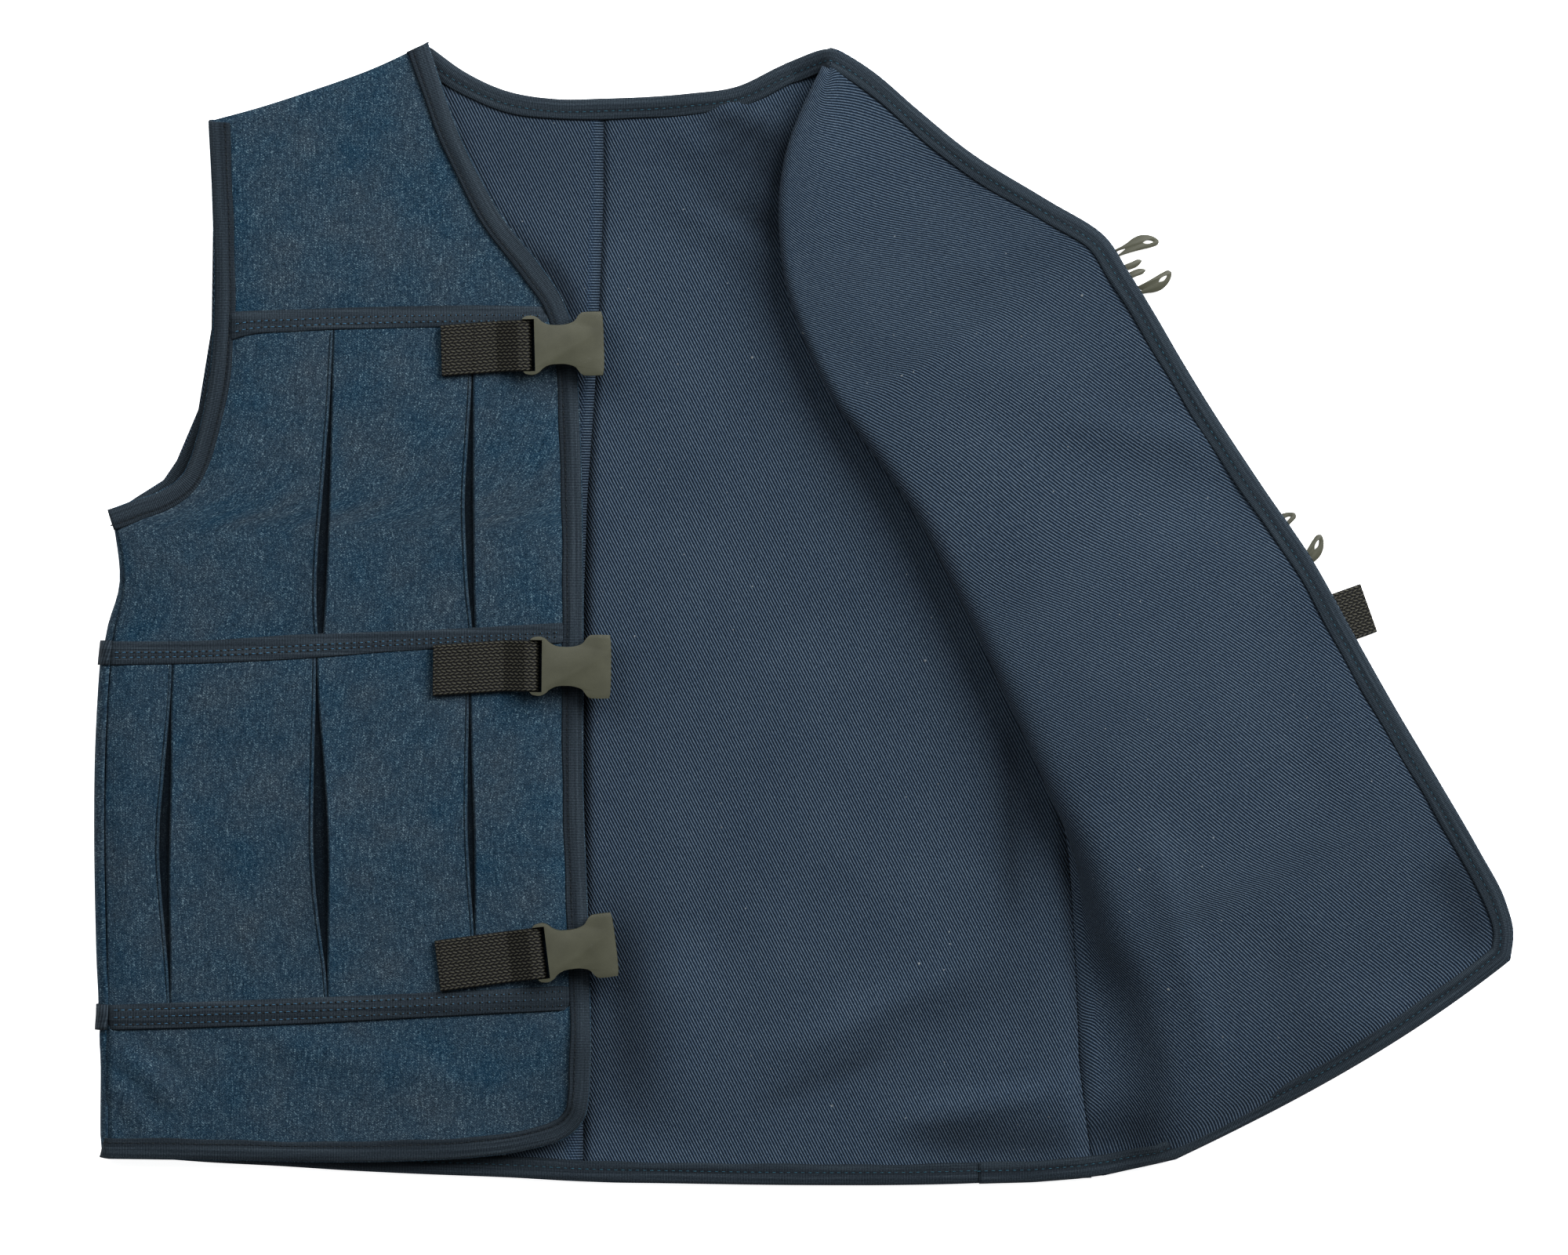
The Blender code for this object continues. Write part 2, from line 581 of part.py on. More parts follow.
def outline_mesh(name, loops, thick):
    """A mesh of the flat shape inside the first loop, less the others, extruded about z = 0."""
    curve = bpy.data.curves.new(name, "CURVE")
    curve.dimensions = "2D"
    curve.fill_mode = "BOTH"
    curve.extrude = thick / 2 * MM
    for points in loops:
        spline = curve.splines.new("POLY")
        spline.points.add(len(points) - 1)
        for spot, (x, y) in zip(spline.points, points):
            spot.co = (x * MM, y * MM, 0, 1)
        spline.use_cyclic_u = True
    source = bpy.data.objects.new(name + "_outline", curve)
    bpy.context.scene.collection.objects.link(source)
    mesh = bpy.data.meshes.new_from_object(source.evaluated_get(bpy.context.evaluated_depsgraph_get()))
    bpy.data.objects.remove(source)
    bm = bmesh.new()
    bm.from_mesh(mesh)
    bmesh.ops.remove_doubles(bm, verts=bm.verts, dist=1e-6)
    bm.to_mesh(mesh)
    bm.free()
    mesh.name = name
    return mesh


def box_mesh(name, low, high):
    bm = bmesh.new()
    bmesh.ops.create_cube(bm, size=1)
    size = [(b - a) * MM for a, b in zip(low, high)]
    middle = [(a + b) / 2 * MM for a, b in zip(low, high)]
    bmesh.ops.scale(bm, vec=size, verts=bm.verts)
    bmesh.ops.translate(bm, vec=middle, verts=bm.verts)
    mesh = bpy.data.meshes.new(name)
    bm.to_mesh(mesh)
    bm.free()
    return mesh


def helper(obj):
    obj.hide_render = True
    obj.display_type = "WIRE"
    return obj


def combine(obj, tools, operation):
    for tool in tools:
        modifier = obj.modifiers.new(operation.title(), "BOOLEAN")
        modifier.operation = operation
        modifier.object = tool
        modifier.solver = "EXACT"


def webbing_bar_boxes(thick, slot_end):
    """What is cut from a buckle's webbing end to leave a bar, a slot behind it and room round it."""
    half = WEBBING_WIDTH / 2 + 0.2
    start, end = BAR_PLACE - BAR / 2, BAR_PLACE + BAR / 2
    tall = thick / 2 + 1
    return (
        ((end, -half, -tall), (slot_end, half, tall)),
        ((start - 4, -half, BAR / 2), (end + 0.1, half, tall)),
        ((start - 4, -half, -tall), (end + 0.1, half, -BAR / 2)),
        ((start - 4, -half, -tall), (start, half, tall)),
    )


def socket_mesh(cutters):
    """The socket half of a side-release buckle, worked out once with its cuts applied."""
    t = SOCKET_OUTLINE
    upper = list(zip(t["along"], t["half"]))
    nose = [(BUCKLE_LENGTH, 7.0), (BUCKLE_LENGTH, -7.0)]
    outline = upper + nose + [(x, -y) for x, y in upper[::-1]]
    body = add_object("socket_body", outline_mesh("socket_body", [outline], BUCKLE_THICK), None, cutters)
    bevel = body.modifiers.new("Soft edges", "BEVEL")
    bevel.width = 0.8 * MM
    bevel.segments = 1
    bevel.limit_method = "ANGLE"
    bevel.angle_limit = math.radians(60)
    boxes = webbing_bar_boxes(BUCKLE_THICK, 5.8)
    inside = BUCKLE_THICK / 2 - PLATE
    boxes += (
        ((MOUTH_START, -MOUTH_HALF_WIDTH, -inside), (BUCKLE_LENGTH + 1, MOUTH_HALF_WIDTH, inside)),
    )
    tools = [
        helper(add_object(f"socket_cut_{k}", box_mesh(f"socket_cut_{k}", *box), None, cutters))
        for k, box in enumerate(boxes)
    ]
    combine(body, tools, "DIFFERENCE")
    return applied(helper(body), "socket")


def applied(obj, name):
    graph = bpy.context.evaluated_depsgraph_get()
    mesh = bpy.data.meshes.new_from_object(obj.evaluated_get(graph))
    mesh.name = name
    mesh.materials.clear()
    mesh.materials.append(finish("buckle"))
    return mesh


def plug_mesh(cutters):
    """The plug half: a block with its webbing bar, two sprung prongs and two guides."""
    block_low = (0.0, -15.2, -PLUG_THICK / 2)
    block_high = (PLUG_BLOCK, 15.2, PLUG_THICK / 2)
    body = add_object("plug_body", box_mesh("plug_body", block_low, block_high), None, cutters)
    bevel = body.modifiers.new("Soft edges", "BEVEL")
    bevel.width = 1.2 * MM
    bevel.segments = 1
    cuts = [
        helper(add_object(f"plug_cut_{k}", box_mesh(f"plug_cut_{k}", *box), None, cutters))
        for k, box in enumerate(webbing_bar_boxes(PLUG_THICK, 6.6))
    ]
    combine(body, cuts, "DIFFERENCE")
    joined = []
    for side in (1, -1):
        for key, t, windows, thick in (
            ("prong", PRONG_OUTLINE, [PRONG_WINDOW], PRONG_THICK),
            ("guide", GUIDE_OUTLINE, [], PRONG_THICK - 1.2),
        ):
            loops = [list(zip(w["along"], side * w["side"])) for w in [t] + windows]
            name = f"plug_{key}_{side}"
            joined.append(helper(add_object(name, outline_mesh(name, loops, thick), None, cutters)))
    combine(body, joined, "UNION")
    return applied(helper(body), "plug")


def build_back(into):
    panel = back_panel()
    layer("back_shell", panel, SHELL, "denim", into)
    seam = CENTRE_SEAM_COLUMN + WRAP_COLUMNS
    flat_rows = slice(0, -1)
    right = panel.offset(LINING, flat_rows, slice(WRAP_COLUMNS, seam + 1)).copy()
    left = panel.offset(LINING, flat_rows, slice(seam, None)).copy()
    right[:, -1, 0] -= GAP / 2
    left[:, 0, 0] += GAP / 2
    sheet("back_lining_right", right, panel.side, WALL, "twill", into)
    sheet("back_lining_left", left, panel.side, WALL, "twill", into)
    pocket = back_strip(panel, POCKET, BACK_BAND_ROWS["top"][0] - 2, BACK_BAND_ROWS["low"][1] + 2)
    sheet("back_lower_pocket", pocket, panel.side, WALL, "denim", into)
    for name, top, low in zip(("middle", "lower"), BACK_BAND_ROWS["top"], BACK_BAND_ROWS["low"]):
        strip = back_strip(panel, BAND, top, low)
        sheet(f"back_{name}_band", strip, panel.side, WALL, "tape", into)
    tape("back_hem_tape", panel.points[0], panel.points[1], panel.out[0], "tape", into)
    neck = slice(WRAP_COLUMNS + 2, WRAP_COLUMNS + 11)
    edge, inner, out = flat_run(panel, -1, neck, -1)
    # The first section starts clear of the closed front's shoulder
    inner[0] = edge[0] + Vector((4.0, -TAPE_WIDTH, 0.0))
    edge[0] += Vector((2.6, -2.0, 0.0))
    tape("back_neck_tape", edge, inner, out, "tape", into)
    first = BACK_UNDERARM_ROW + 2
    tape("back_right_armhole_tape", *flat_run(panel, slice(first, -1), 0, -1), "tape", into)
    tape("back_left_armhole_tape", *flat_run(panel, slice(first, -2), -1, 1), "tape", into)


def back_strip(panel, start, top, low):
    """A strip across the back between two heights, wrapped round the side with the shell."""
    grid = panel.offset(start, slice(0, BACK_UNDERARM_ROW + 1))
    between = [y for y in BACK["right_y"][: BACK_UNDERARM_ROW + 1] if low < y < top]
    rows = []
    for y in (low, *between, top):
        rows.append([[np.interp(y, line[:, 1], line[:, k]) for k in range(3)]
                     for line in grid.transpose(1, 0, 2)])
    return np.array(rows)


def build_right_front(into):
    panel = right_front_panel()
    shell = np.concatenate((panel.offset(SHELL), shoulder_lip(panel)))
    sheet("right_front_shell", shell, 1, WALL, "denim", into)
    layer("right_front_lining", panel, LINING, "twill", into)
    edge, inner, out = flat_run(panel, slice(RIGHT_UNDERARM_ROW, None), 0, -1)
    left_line = np.concatenate((panel.points[:RIGHT_UNDERARM_ROW, 0], inner))
    lines = left_line, panel.points[:, -2]
    pleated_pocket("right_upper_pocket", UPPER_POCKET, UPPER_PLEATS, lines, into)
    pleated_pocket("right_lower_pocket", LOWER_POCKET, LOWER_PLEATS, lines, into)
    height = FRONT_FACE + BAND
    band("right_upper_band", UPPER_BAND, height, 1, into)
    band("right_middle_band", MIDDLE_BAND, height, 1, into)
    band("right_lower_band", LOWER_BAND, height, 1, into)
    # Both tapes end clear of the side fold
    for line in (edge, inner):
        line[0] += 0.3 * (line[1] - line[0])
    long_edge, long_inner, long_out = round_run(panel, len(panel.points) - 1)
    for line in (long_edge, long_inner):
        line[-1] += 0.2 * (line[-2] - line[-1])
    tape("right_front_tape", long_edge, long_inner, long_out, "tape", into)
    tape("right_armhole_tape", edge, inner, out, "tape", into)


def build_left_front(into):
    panel = left_front_panel(LEFT_LEVELS)
    row = LEFT_LEVELS.index
    layer("left_front_shell", panel, SHELL, "denim", into)
    layer("left_front_lining", panel, LINING, "twill", into)
    foot = len(UNDER_STEPS)
    pocket = panel.offset(POCKET)
    # The upper pocket starts a gap above the lower one, under the middle band
    upper_start = pocket[row(-24)] + 0.04 * (pocket[row(-11)] - pocket[row(-24)])
    upper = np.concatenate((upper_start[None], pocket[row(-11) : row(147) + 1]))
    lower = pocket[row(-203) : row(-24) + 1]
    for name, cloth in (("upper", upper), ("lower", lower)):
        cloth = inset(cloth[:, foot:-1])
        sheet(f"left_{name}_pocket", cloth, panel.side, WALL, "denim", into)
    band_grid = panel.offset(BAND)
    for name, low, top in (("lower", -203, -190), ("middle", -24, -11), ("upper", 136, 147)):
        cloth = inset(band_grid[row(low) : row(top) + 1, foot:-1])
        sheet(f"left_{name}_band", cloth, panel.side, WALL, "tape", into)
    tape("left_front_tape", *round_run(panel, row(255)), "tape", into)
    rows = slice(row(75), row(255) + 1)
    edge, foot_line = panel.points[rows, 0], panel.points[rows, foot]
    under = foot_line - edge
    under *= TAPE_WIDTH / np.linalg.norm(under, axis=1, keepdims=True)
    tape("left_armhole_tape", edge, edge + under, panel.out[rows, 0], "tape", into)
    return panel


def inset(cloth):
    """The grid with its last column drawn in, clear of the binding tape."""
    cloth = cloth.copy()
    back = cloth[:, -2] - cloth[:, -1]
    cloth[:, -1] += back * 1.5 * GAP / np.linalg.norm(back, axis=1, keepdims=True)
    return cloth


def build_right_straps(into, socket):
    t = RIGHT_STRAPS
    first_leg = STRAP_FACE + WEBBING_WALL / 2
    for k, name in enumerate(("upper", "middle", "lower")):
        length, turn, buckle_turn = t["length"][k], t["turn"][k], t["buckle_turn"][k]
        path = loop_path((0.0, length - 14.0), (0.0, 0.0), length, BUCKLE_HEIGHT - first_leg)
        drift = -math.tan(math.radians(turn - buckle_turn)) * (length - 14.0)
        strap = webbing(f"right_{name}_strap", path, into, drift)
        bar = Vector((t["start_x"][k], t["start_y"][k])) + heading(turn) * length
        place(strap, bar - heading(buckle_turn) * length, first_leg, buckle_turn)
        buckle = add_object(f"right_{name}_buckle", socket, None, into)
        place(buckle, bar - heading(buckle_turn) * BAR_PLACE, BUCKLE_HEIGHT, buckle_turn)


def build_left_straps(into, plug, panel):
    t = LEFT_STRAPS
    over = slice(len(UNDER_STEPS) + NOSE_STEPS, None)
    grids = [panel.offset(CLOTH + TAPE_GAP + STEP, columns=over)]
    for low in (-203, -24, 136):
        row = LEFT_LEVELS.index(low)
        grids.append(panel.offset(BAND + STEP, slice(row, row + 2), over))
    under = surface_of(grids)
    for k, name in enumerate(("upper", "middle", "lower")):
        turn, length = t["turn"][k], t["length"][k]
        ahead = heading(turn)
        across = Vector((-ahead.y, ahead.x)) * WEBBING_WIDTH / 2
        start = Vector((t["bar_x"][k], t["bar_y"][k])) + ahead * (BAR_PLACE - length)
        along = np.linspace(0.0, length - 14.0, 6)
        tops = [lowest_above(under, start + ahead * step, across) for step in along]
        heights = [top - WEBBING_WALL * 0.55 - WEBBING_LEG for top in tops]
        strap = webbing(f"left_{name}_strap", loop_path(along, heights, length, PLUG_HEIGHT), into)
        place(strap, start, 0.0, turn)
        buckle = add_object(f"left_{name}_buckle", plug, None, into)
        place(buckle, start + ahead * (length - BAR_PLACE), PLUG_HEIGHT, turn)
    turn, length = TAIL["turn"], TAIL["length"]
    ahead = heading(turn)
    across = Vector((-ahead.y, ahead.x)) * WEBBING_WIDTH / 2
    start = Vector((TAIL["end_x"], TAIL["end_y"])) - ahead * length
    along = (0.0, length * 0.3, length * 0.55)
    heights = [lowest_above(under, start + ahead * step, across) - WEBBING_WALL * 0.55 for step in along]
    path = [*zip(along, heights), (length * 0.8, heights[-1] * 0.6), (length, 2.2)]
    place(webbing("left_middle_strap_tail", path, into), start, 0.0, turn)


def centre_on_origin(objects):
    for obj in objects:
        obj.matrix_world = Matrix.Translation(Vector((*OUTLINE_CENTRE, 0.0)) * -MM) @ obj.matrix_world


def main():
    for obj in list(bpy.data.objects):
        bpy.data.objects.remove(obj)
    vest = collection("weighted_vest")
    cutters = collection("cutters")
    cutters.hide_render = True
    build_back(vest)
    build_right_front(vest)
    left = build_left_front(vest)
    build_right_straps(vest, socket_mesh(cutters))
    build_left_straps(vest, plug_mesh(cutters), left)
    centre_on_origin(vest.objects)


main()
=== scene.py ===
import math

import bmesh
import bpy
import numpy as np
from mathutils import Matrix, Vector
from mathutils.bvhtree import BVHTree


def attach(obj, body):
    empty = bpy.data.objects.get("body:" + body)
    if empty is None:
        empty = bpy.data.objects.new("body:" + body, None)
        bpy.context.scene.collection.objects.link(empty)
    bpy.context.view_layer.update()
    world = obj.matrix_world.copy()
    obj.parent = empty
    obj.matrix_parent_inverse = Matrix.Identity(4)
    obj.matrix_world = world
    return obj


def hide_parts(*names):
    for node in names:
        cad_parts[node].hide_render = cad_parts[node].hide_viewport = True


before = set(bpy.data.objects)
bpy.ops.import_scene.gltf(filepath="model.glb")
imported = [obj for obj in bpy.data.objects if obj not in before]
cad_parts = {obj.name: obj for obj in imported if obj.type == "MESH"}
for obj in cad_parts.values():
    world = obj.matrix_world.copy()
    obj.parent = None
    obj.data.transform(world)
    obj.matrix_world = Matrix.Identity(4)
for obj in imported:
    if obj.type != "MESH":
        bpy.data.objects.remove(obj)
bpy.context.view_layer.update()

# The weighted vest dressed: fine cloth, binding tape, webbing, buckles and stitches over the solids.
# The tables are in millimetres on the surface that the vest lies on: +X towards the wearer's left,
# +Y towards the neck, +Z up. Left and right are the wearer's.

MM = 0.001
OUTLINE_CENTRE = (0.06, -1.1)

# The stack of layers, as in the solids
WALL = 1.0
GAP = 0.3
STEP = WALL + GAP
LINING, SHELL, POCKET, BAND = (k * STEP for k in range(4))
BACK_FACE = BAND + WALL
HOLLOW = 6.1
FRONT_FACE = BACK_FACE + HOLLOW
SIDE_RADIUS = HOLLOW / 2
STRAP_FACE = FRONT_FACE + BAND + STEP

TAPE_WIDTH = 10.3
TAPE_WALL = 0.8
BAND_WALL = 0.6
WEBBING_WIDTH = 25.0
WEBBING_WALL = 1.3
WEBBING_LEG = WEBBING_WALL + GAP
YARN_LONG = 2.6
YARN_WIDE = 1.55
WEAVE_STEP = 0.34
LOOP_RADIUS = 2.6
BUCKLE_THICK = 9.0
BUCKLE_LENGTH = 39.5
BUCKLE_HEIGHT = STRAP_FACE + BUCKLE_THICK / 2
PLATE = 1.6
BAR = 2.4
BAR_PLACE = 1.2
PLUG_THICK = 8.0
PLUG_BLOCK = 14.0
PLUG_HALF_WIDTH = 15.2
PRONG_THICK = 4.6
PLUG_HEIGHT = 0.3 + PLUG_THICK / 2

# Spacing of the cloth's points: fine where the photo shows the cloth, coarse where it is hidden
FINE = 3.5
PLAIN = 6.0
# Points of a plain row of the turned-back front: under the fold, round its nose and over it
PLAIN_COUNTS = (6, 10, 34)


def table(names, *rows):
    """One array for each named column."""
    return dict(zip(names.split(), np.array(rows, float).T))


# Outlines of the closed right front
FRONT_EDGE = (
    (-129.2, -260.9), (-120.0, -258.2), (-112.5, -253.6), (-107.4, -246.5), (-105.2, -236.0),
    (-104.5, -222.0), (-105.3, -165.0), (-108.1, -84.0), (-108.1, 16.0), (-108.8, 64.0),
    (-110.0, 100.0), (-111.4, 122.0), (-114.0, 142.5), (-118.2, 153.8), (-129.6, 171.2),
    (-146.9, 193.1), (-157.5, 211.4), (-168.8, 235.0), (-177.7, 259.6), (-184.2, 279.2),
)
FRONT_HEM = (
    (-340.5, -266.6), (-310.0, -267.0), (-279.0, -267.5), (-240.0, -268.3), (-210.0, -268.2),
    (-163.8, -266.2), (-145.0, -264.2), (-129.2, -260.9),
)
FRONT_SIDE = (
    (-340.5, -266.6), (-340.9, -235.0), (-341.1, -165.0), (-342.1, -84.0), (-337.9, -12.0),
    (-333.0, 16.0), (-336.5, 40.0), (-340.8, 50.8),
)
ARMHOLE = (
    (-340.8, 50.8), (-334.6, 52.9), (-326.0, 56.2), (-319.2, 58.3), (-311.5, 62.0), (-304.6, 67.5),
    (-300.8, 75.0), (-296.9, 87.3), (-293.1, 103.5), (-290.6, 120.0), (-288.9, 145.0),
    (-288.8, 178.0), (-289.6, 203.1), (-291.5, 240.8),
)
SHOULDER = ((-291.5, 240.8), (-266.0, 247.6), (-240.8, 255.6), (-212.0, 265.8), (-184.2, 278.6))

# The flat back: its top from shoulder to neck, and its hem, at matching places
BACK_TOP = (
    (-291.5, 238.8), (-240.0, 252.6), (-184.2, 278.2), (-166.5, 265.6), (-146.9, 256.5),
    (-122.3, 252.3), (-98.5, 252.5), (-56.2, 255.0), (-34.0, 258.1), (-10.0, 269.2), (13.1, 277.5),
)
BACK_HEM = (
    (-339.3, -265.0), (-291.5, -268.8), (-257.3, -270.6), (-223.1, -272.8), (-186.2, -274.6),
    (-145.0, -276.2), (-108.5, -278.2), (-60.0, -279.2), (0.0, -280.0), (66.0, -279.6),
    (140.6, -276.4),
)
# Which points of the top are the neck's peak and the centre seam's end
NECK_PEAK = 2
SEAM_PLACE = 6
BACK_ROWS = table(
    "right_x right_y left_x left_y rise",
    (-339.3, -265.0, 140.6, -276.4, 0.0),
    (-340.5, -255.0, 140.2, -266.4, 0.019),
    (-340.4, -222.0, 134.8, -222.0, 0.1),
    (-341.0, -206.5, 134.2, -206.5, 0.134),
    (-340.2, -190.0, 133.4, -190.0, 0.18),
    (-341.3, -165.0, 132.2, -165.0, 0.25),
    (-342.3, -110.0, 129.0, -110.0, 0.37),
    (-341.6, -60.0, 126.6, -60.0, 0.465),
    (-338.1, -12.0, 126.0, -12.0, 0.55),
    (-331.1, 16.0, 128.0, 16.0, 0.62),
    (-334.7, 49.0, 133.0, 49.0, 0.68),
    (-330.5, 55.0, 112.0, 58.0, 0.72),
    (-326.6, 57.6, 107.0, 61.0, 0.73),
    (-314.0, 65.6, 98.0, 67.2, 0.75),
    (-307.6, 75.0, 88.0, 74.0, 0.77),
    (-297.0, 100.0, 66.0, 96.0, 0.82),
    (-290.5, 140.0, 42.0, 132.0, 0.87),
    (-289.8, 190.0, 27.0, 172.0, 0.92),
    (-291.2, 231.0, 15.2, 267.5, 0.981),
    (-291.5, 238.8, 13.1, 277.5, 1.0),
)
UNDERARM_ROW = 10
UNWRAP = (47.0, 53.0)
CENTRE_SEAM = table(
    "y x", (-278.2, -108.5), (6.9, -108.1), (55.8, -106.5), (110.0, -102.7), (153.8, -100.4),
    (203.0, -98.5), (252.5, -98.5),
)
SEAM_ALLOWANCE = 4.8

# The left front, turned back over its own armhole, as in the solids
LEFT_FRONT = table(
    "level seam_x seam_y seam_z nose_x nose_y foot foot_z crest crest_z edge_x edge_y edge_z",
    (-266, 141.5, -275.4, 5.2, 163, -271.6, -16, 5.2, 20, 11.0, 346.0, -169.8, 4.0),
    (-256, 141.2, -265.5, 5.2, 165, -261, -20, 5.2, 19, 15.5, 347.5, -159.0, 4.0),
    (-235, 138.2, -243.0, 5.2, 170, -236, -24, 5.2, 20, 21.5, 344.0, -142.0, 5.0),
    (-200, 135.4, -208.0, 5.2, 163, -193, -20, 5.4, 19, 25.5, 330.5, -116.0, 8.0),
    (-160, 133.4, -168.0, 5.2, 149, -160, -10, 6.0, 17, 30.5, 310.5, -82.0, 11.5),
    (-120, 131.6, -127.0, 5.2, 138, -124, -3, 8.0, 16, 33.0, 289.0, -46.0, 12.5),
    (-80, 126.0, -86.0, 5.4, 119, -83, 7, 12.8, 16, 34.8, 269.0, -10.5, 12.0),
    (-40, 124.0, -46.0, 5.4, 106, -54, 13, 9.2, 15, 34.8, 248.7, 26.0, 12.5),
    (5, 124.0, -4.0, 5.2, 90, -20, 14, 8.2, 13, 34.4, 223.0, 64.0, 11.0),
    (51, 130.0, 42.0, 6.4, 74, 12, 14, 8.2, 11, 33.0, 196.6, 104.4, 10.5),
    (75, 91.0, 68.5, 8.2, 57.5, 44, 14, 8.2, 10, 31.8, 184.0, 125.0, 11.5),
    (100, 62.0, 83.5, 8.2, 41, 68.5, 13, 8.2, 9, 30.4, 171.0, 147.3, 12.5),
    (125, 47.0, 99.0, 8.2, 27, 87.5, 12, 8.2, 8, 29.0, 158.0, 168.0, 12.5),
    (147, 36.0, 113.0, 8.2, 15.5, 103, 11.5, 8.2, 7, 27.6, 145.8, 185.8, 12.5),
    (171, 24.5, 136.0, 8.2, 2, 130, 10.5, 8.2, 6, 26.0, 119.0, 202.4, 11.5),
    (210, 13.0, 170.0, 8.2, -10.3, 172.5, 10, 8.2, 5, 24.5, 78.7, 227.7, 10.0),
    (235, 12.5, 200.0, 8.2, -11.3, 207, 9, 8.2, 4.5, 23.0, 54.0, 248.0, 10.5),
    (255, 17.0, 226.0, 8.2, -6.0, 233, 8, 8.2, 4, 21.5, 34.0, 265.0, 12.5),
    (272, 20.0, 252.0, 8.2, 4.5, 258, 6, 8.2, 3.5, 19.5, 17.5, 275.2, 15.0),
    (281, 20.0, 262.0, 7.2, 9.5, 268, 4, 7.2, 3, 16.8, 13.2, 276.8, 13.0),
)

# Bands of wide tape across the right front, and their stitch rows as shares of the band's width
UPPER_BAND = table(
    "x top low", (-281.5, 147.0, 133.2), (-276.9, 147.3, 135.0), (-247.3, 148.5, 138.1),
    (-198.5, 150.0, 139.9), (-149.2, 150.4, 140.6), (-124.4, 149.7, 140.6),
)
MIDDLE_BAND = table(
    "x top low", (-340.5, -13.8, -25.0), (-296.5, -13.5, -24.2), (-247.3, -10.4, -21.9),
    (-198.5, -8.8, -18.1), (-116.0, -4.6, -14.0),
)
LOWER_BAND = table(
    "x top low", (-341.0, -191.5, -203.5), (-296.5, -190.0, -202.2), (-247.3, -188.1, -200.4),
    (-173.8, -185.0, -196.5), (-113.5, -181.9, -193.5),
)
BAND_STITCHES = {"upper": (0.45, 0.75), "middle": (0.46, 0.68), "lower": (0.2, 0.5, 0.8)}
BACK_BAND_ROWS = table("top low", (-13.0, -25.0), (-191.0, -203.5))

# Each pleat from its top down: its place, and half the width that it gapes
UPPER_PLEATS = (
    table("y x half", (142.0, -230.0, 0.15), (124.6, -230.8, 0.35), (100.0, -231.7, 0.8),
          (80.4, -232.7, 1.3), (55.0, -234.0, 2.0), (31.2, -235.4, 2.6), (10.0, -236.2, 2.5),
          (-4.0, -236.5, 1.9), (-16.0, -236.6, 1.0)),
    table("y x half", (142.0, -162.4, 0.15), (114.6, -162.4, 0.5), (85.0, -163.2, 1.4),
          (55.8, -164.0, 2.2), (30.0, -163.5, 2.0), (6.9, -162.7, 1.4), (-4.0, -161.9, 1.0),
          (-16.0, -161.8, 0.6)),
)
LOWER_PLEATS = (
    table("y x half", (-20.0, -308.6, 0.15), (-45.0, -309.8, 0.5), (-80.0, -311.4, 2.0),
          (-105.0, -312.6, 2.7), (-120.0, -312.8, 2.6), (-138.0, -312.3, 2.0),
          (-155.0, -311.4, 1.4), (-175.0, -310.5, 0.7), (-194.0, -310.0, 0.15)),
    table("y x half", (-16.0, -238.6, 0.15), (-45.0, -238.2, 1.0), (-70.0, -237.4, 2.4),
          (-92.3, -236.8, 3.4), (-116.9, -236.3, 3.8), (-140.0, -235.6, 3.0),
          (-160.0, -234.6, 1.8), (-178.0, -233.6, 0.6), (-192.0, -233.1, 0.15)),
    table("y x half", (-16.0, -163.6, 0.15), (-43.5, -163.6, 0.5), (-80.0, -163.5, 1.3),
          (-105.0, -163.0, 1.8), (-129.2, -162.3, 1.4), (-153.8, -161.5, 0.5),
          (-192.0, -161.0, 0.15)),
)

RIGHT_STRAPS = table(
    "start_x start_y length turn buckle_turn seam", (-177.3, 127.7, 41.2, 4.4, 1.5, 16.2),
    (-181.3, -28.7, 48.7, 3.7, -0.5, 17.6), (-179.2, -172.3, 49.5, 7.6, 7.0, 17.0),
)
LEFT_STRAPS = table(
    "bar_x bar_y length turn", (141.0, 160.6, 42.0, 22.0), (222.3, 14.2, 42.0, 50.5),
    (256.0, -93.0, 42.0, 30.0),
)
TAIL = {"end_x": 276.7, "end_y": 2.9, "length": 44.0, "turn": 19.5}

SOCKET_OUTLINE = (
    (0.0, 12.9), (0.9, 13.8), (2.6, 14.3), (5.1, 14.4), (7.6, 13.3), (9.4, 11.6), (12.5, 10.0),
    (17.0, 9.5), (22.0, 9.9), (25.4, 11.2), (28.0, 14.4), (29.2, 15.3), (31.0, 15.5), (38.7, 15.5),
)
PRONG_OUTLINE = (
    (12.0, 11.9), (16.0, 12.3), (20.0, 12.6), (23.5, 13.2), (27.0, 14.2), (31.0, 14.3),
    (34.8, 12.8), (37.6, 10.2), (38.5, 8.2), (37.5, 6.9), (34.0, 6.8), (30.0, 7.4), (24.0, 8.2),
    (18.0, 8.6), (12.0, 8.7),
)
PRONG_WINDOW = ((30.8, 10.4), (33.0, 10.8), (35.0, 9.9), (36.0, 8.9), (34.4, 8.7), (32.0, 9.3))
ARM_WINDOW = ((15.0, 10.9), (20.0, 11.2), (22.0, 10.9), (20.4, 10.2), (15.0, 10.0))
GUIDE_OUTLINE = (
    (12.0, 3.6), (22.0, 3.7), (25.8, 3.6), (27.2, 2.5), (25.4, 1.1), (18.0, 0.7), (12.0, 0.7),
)

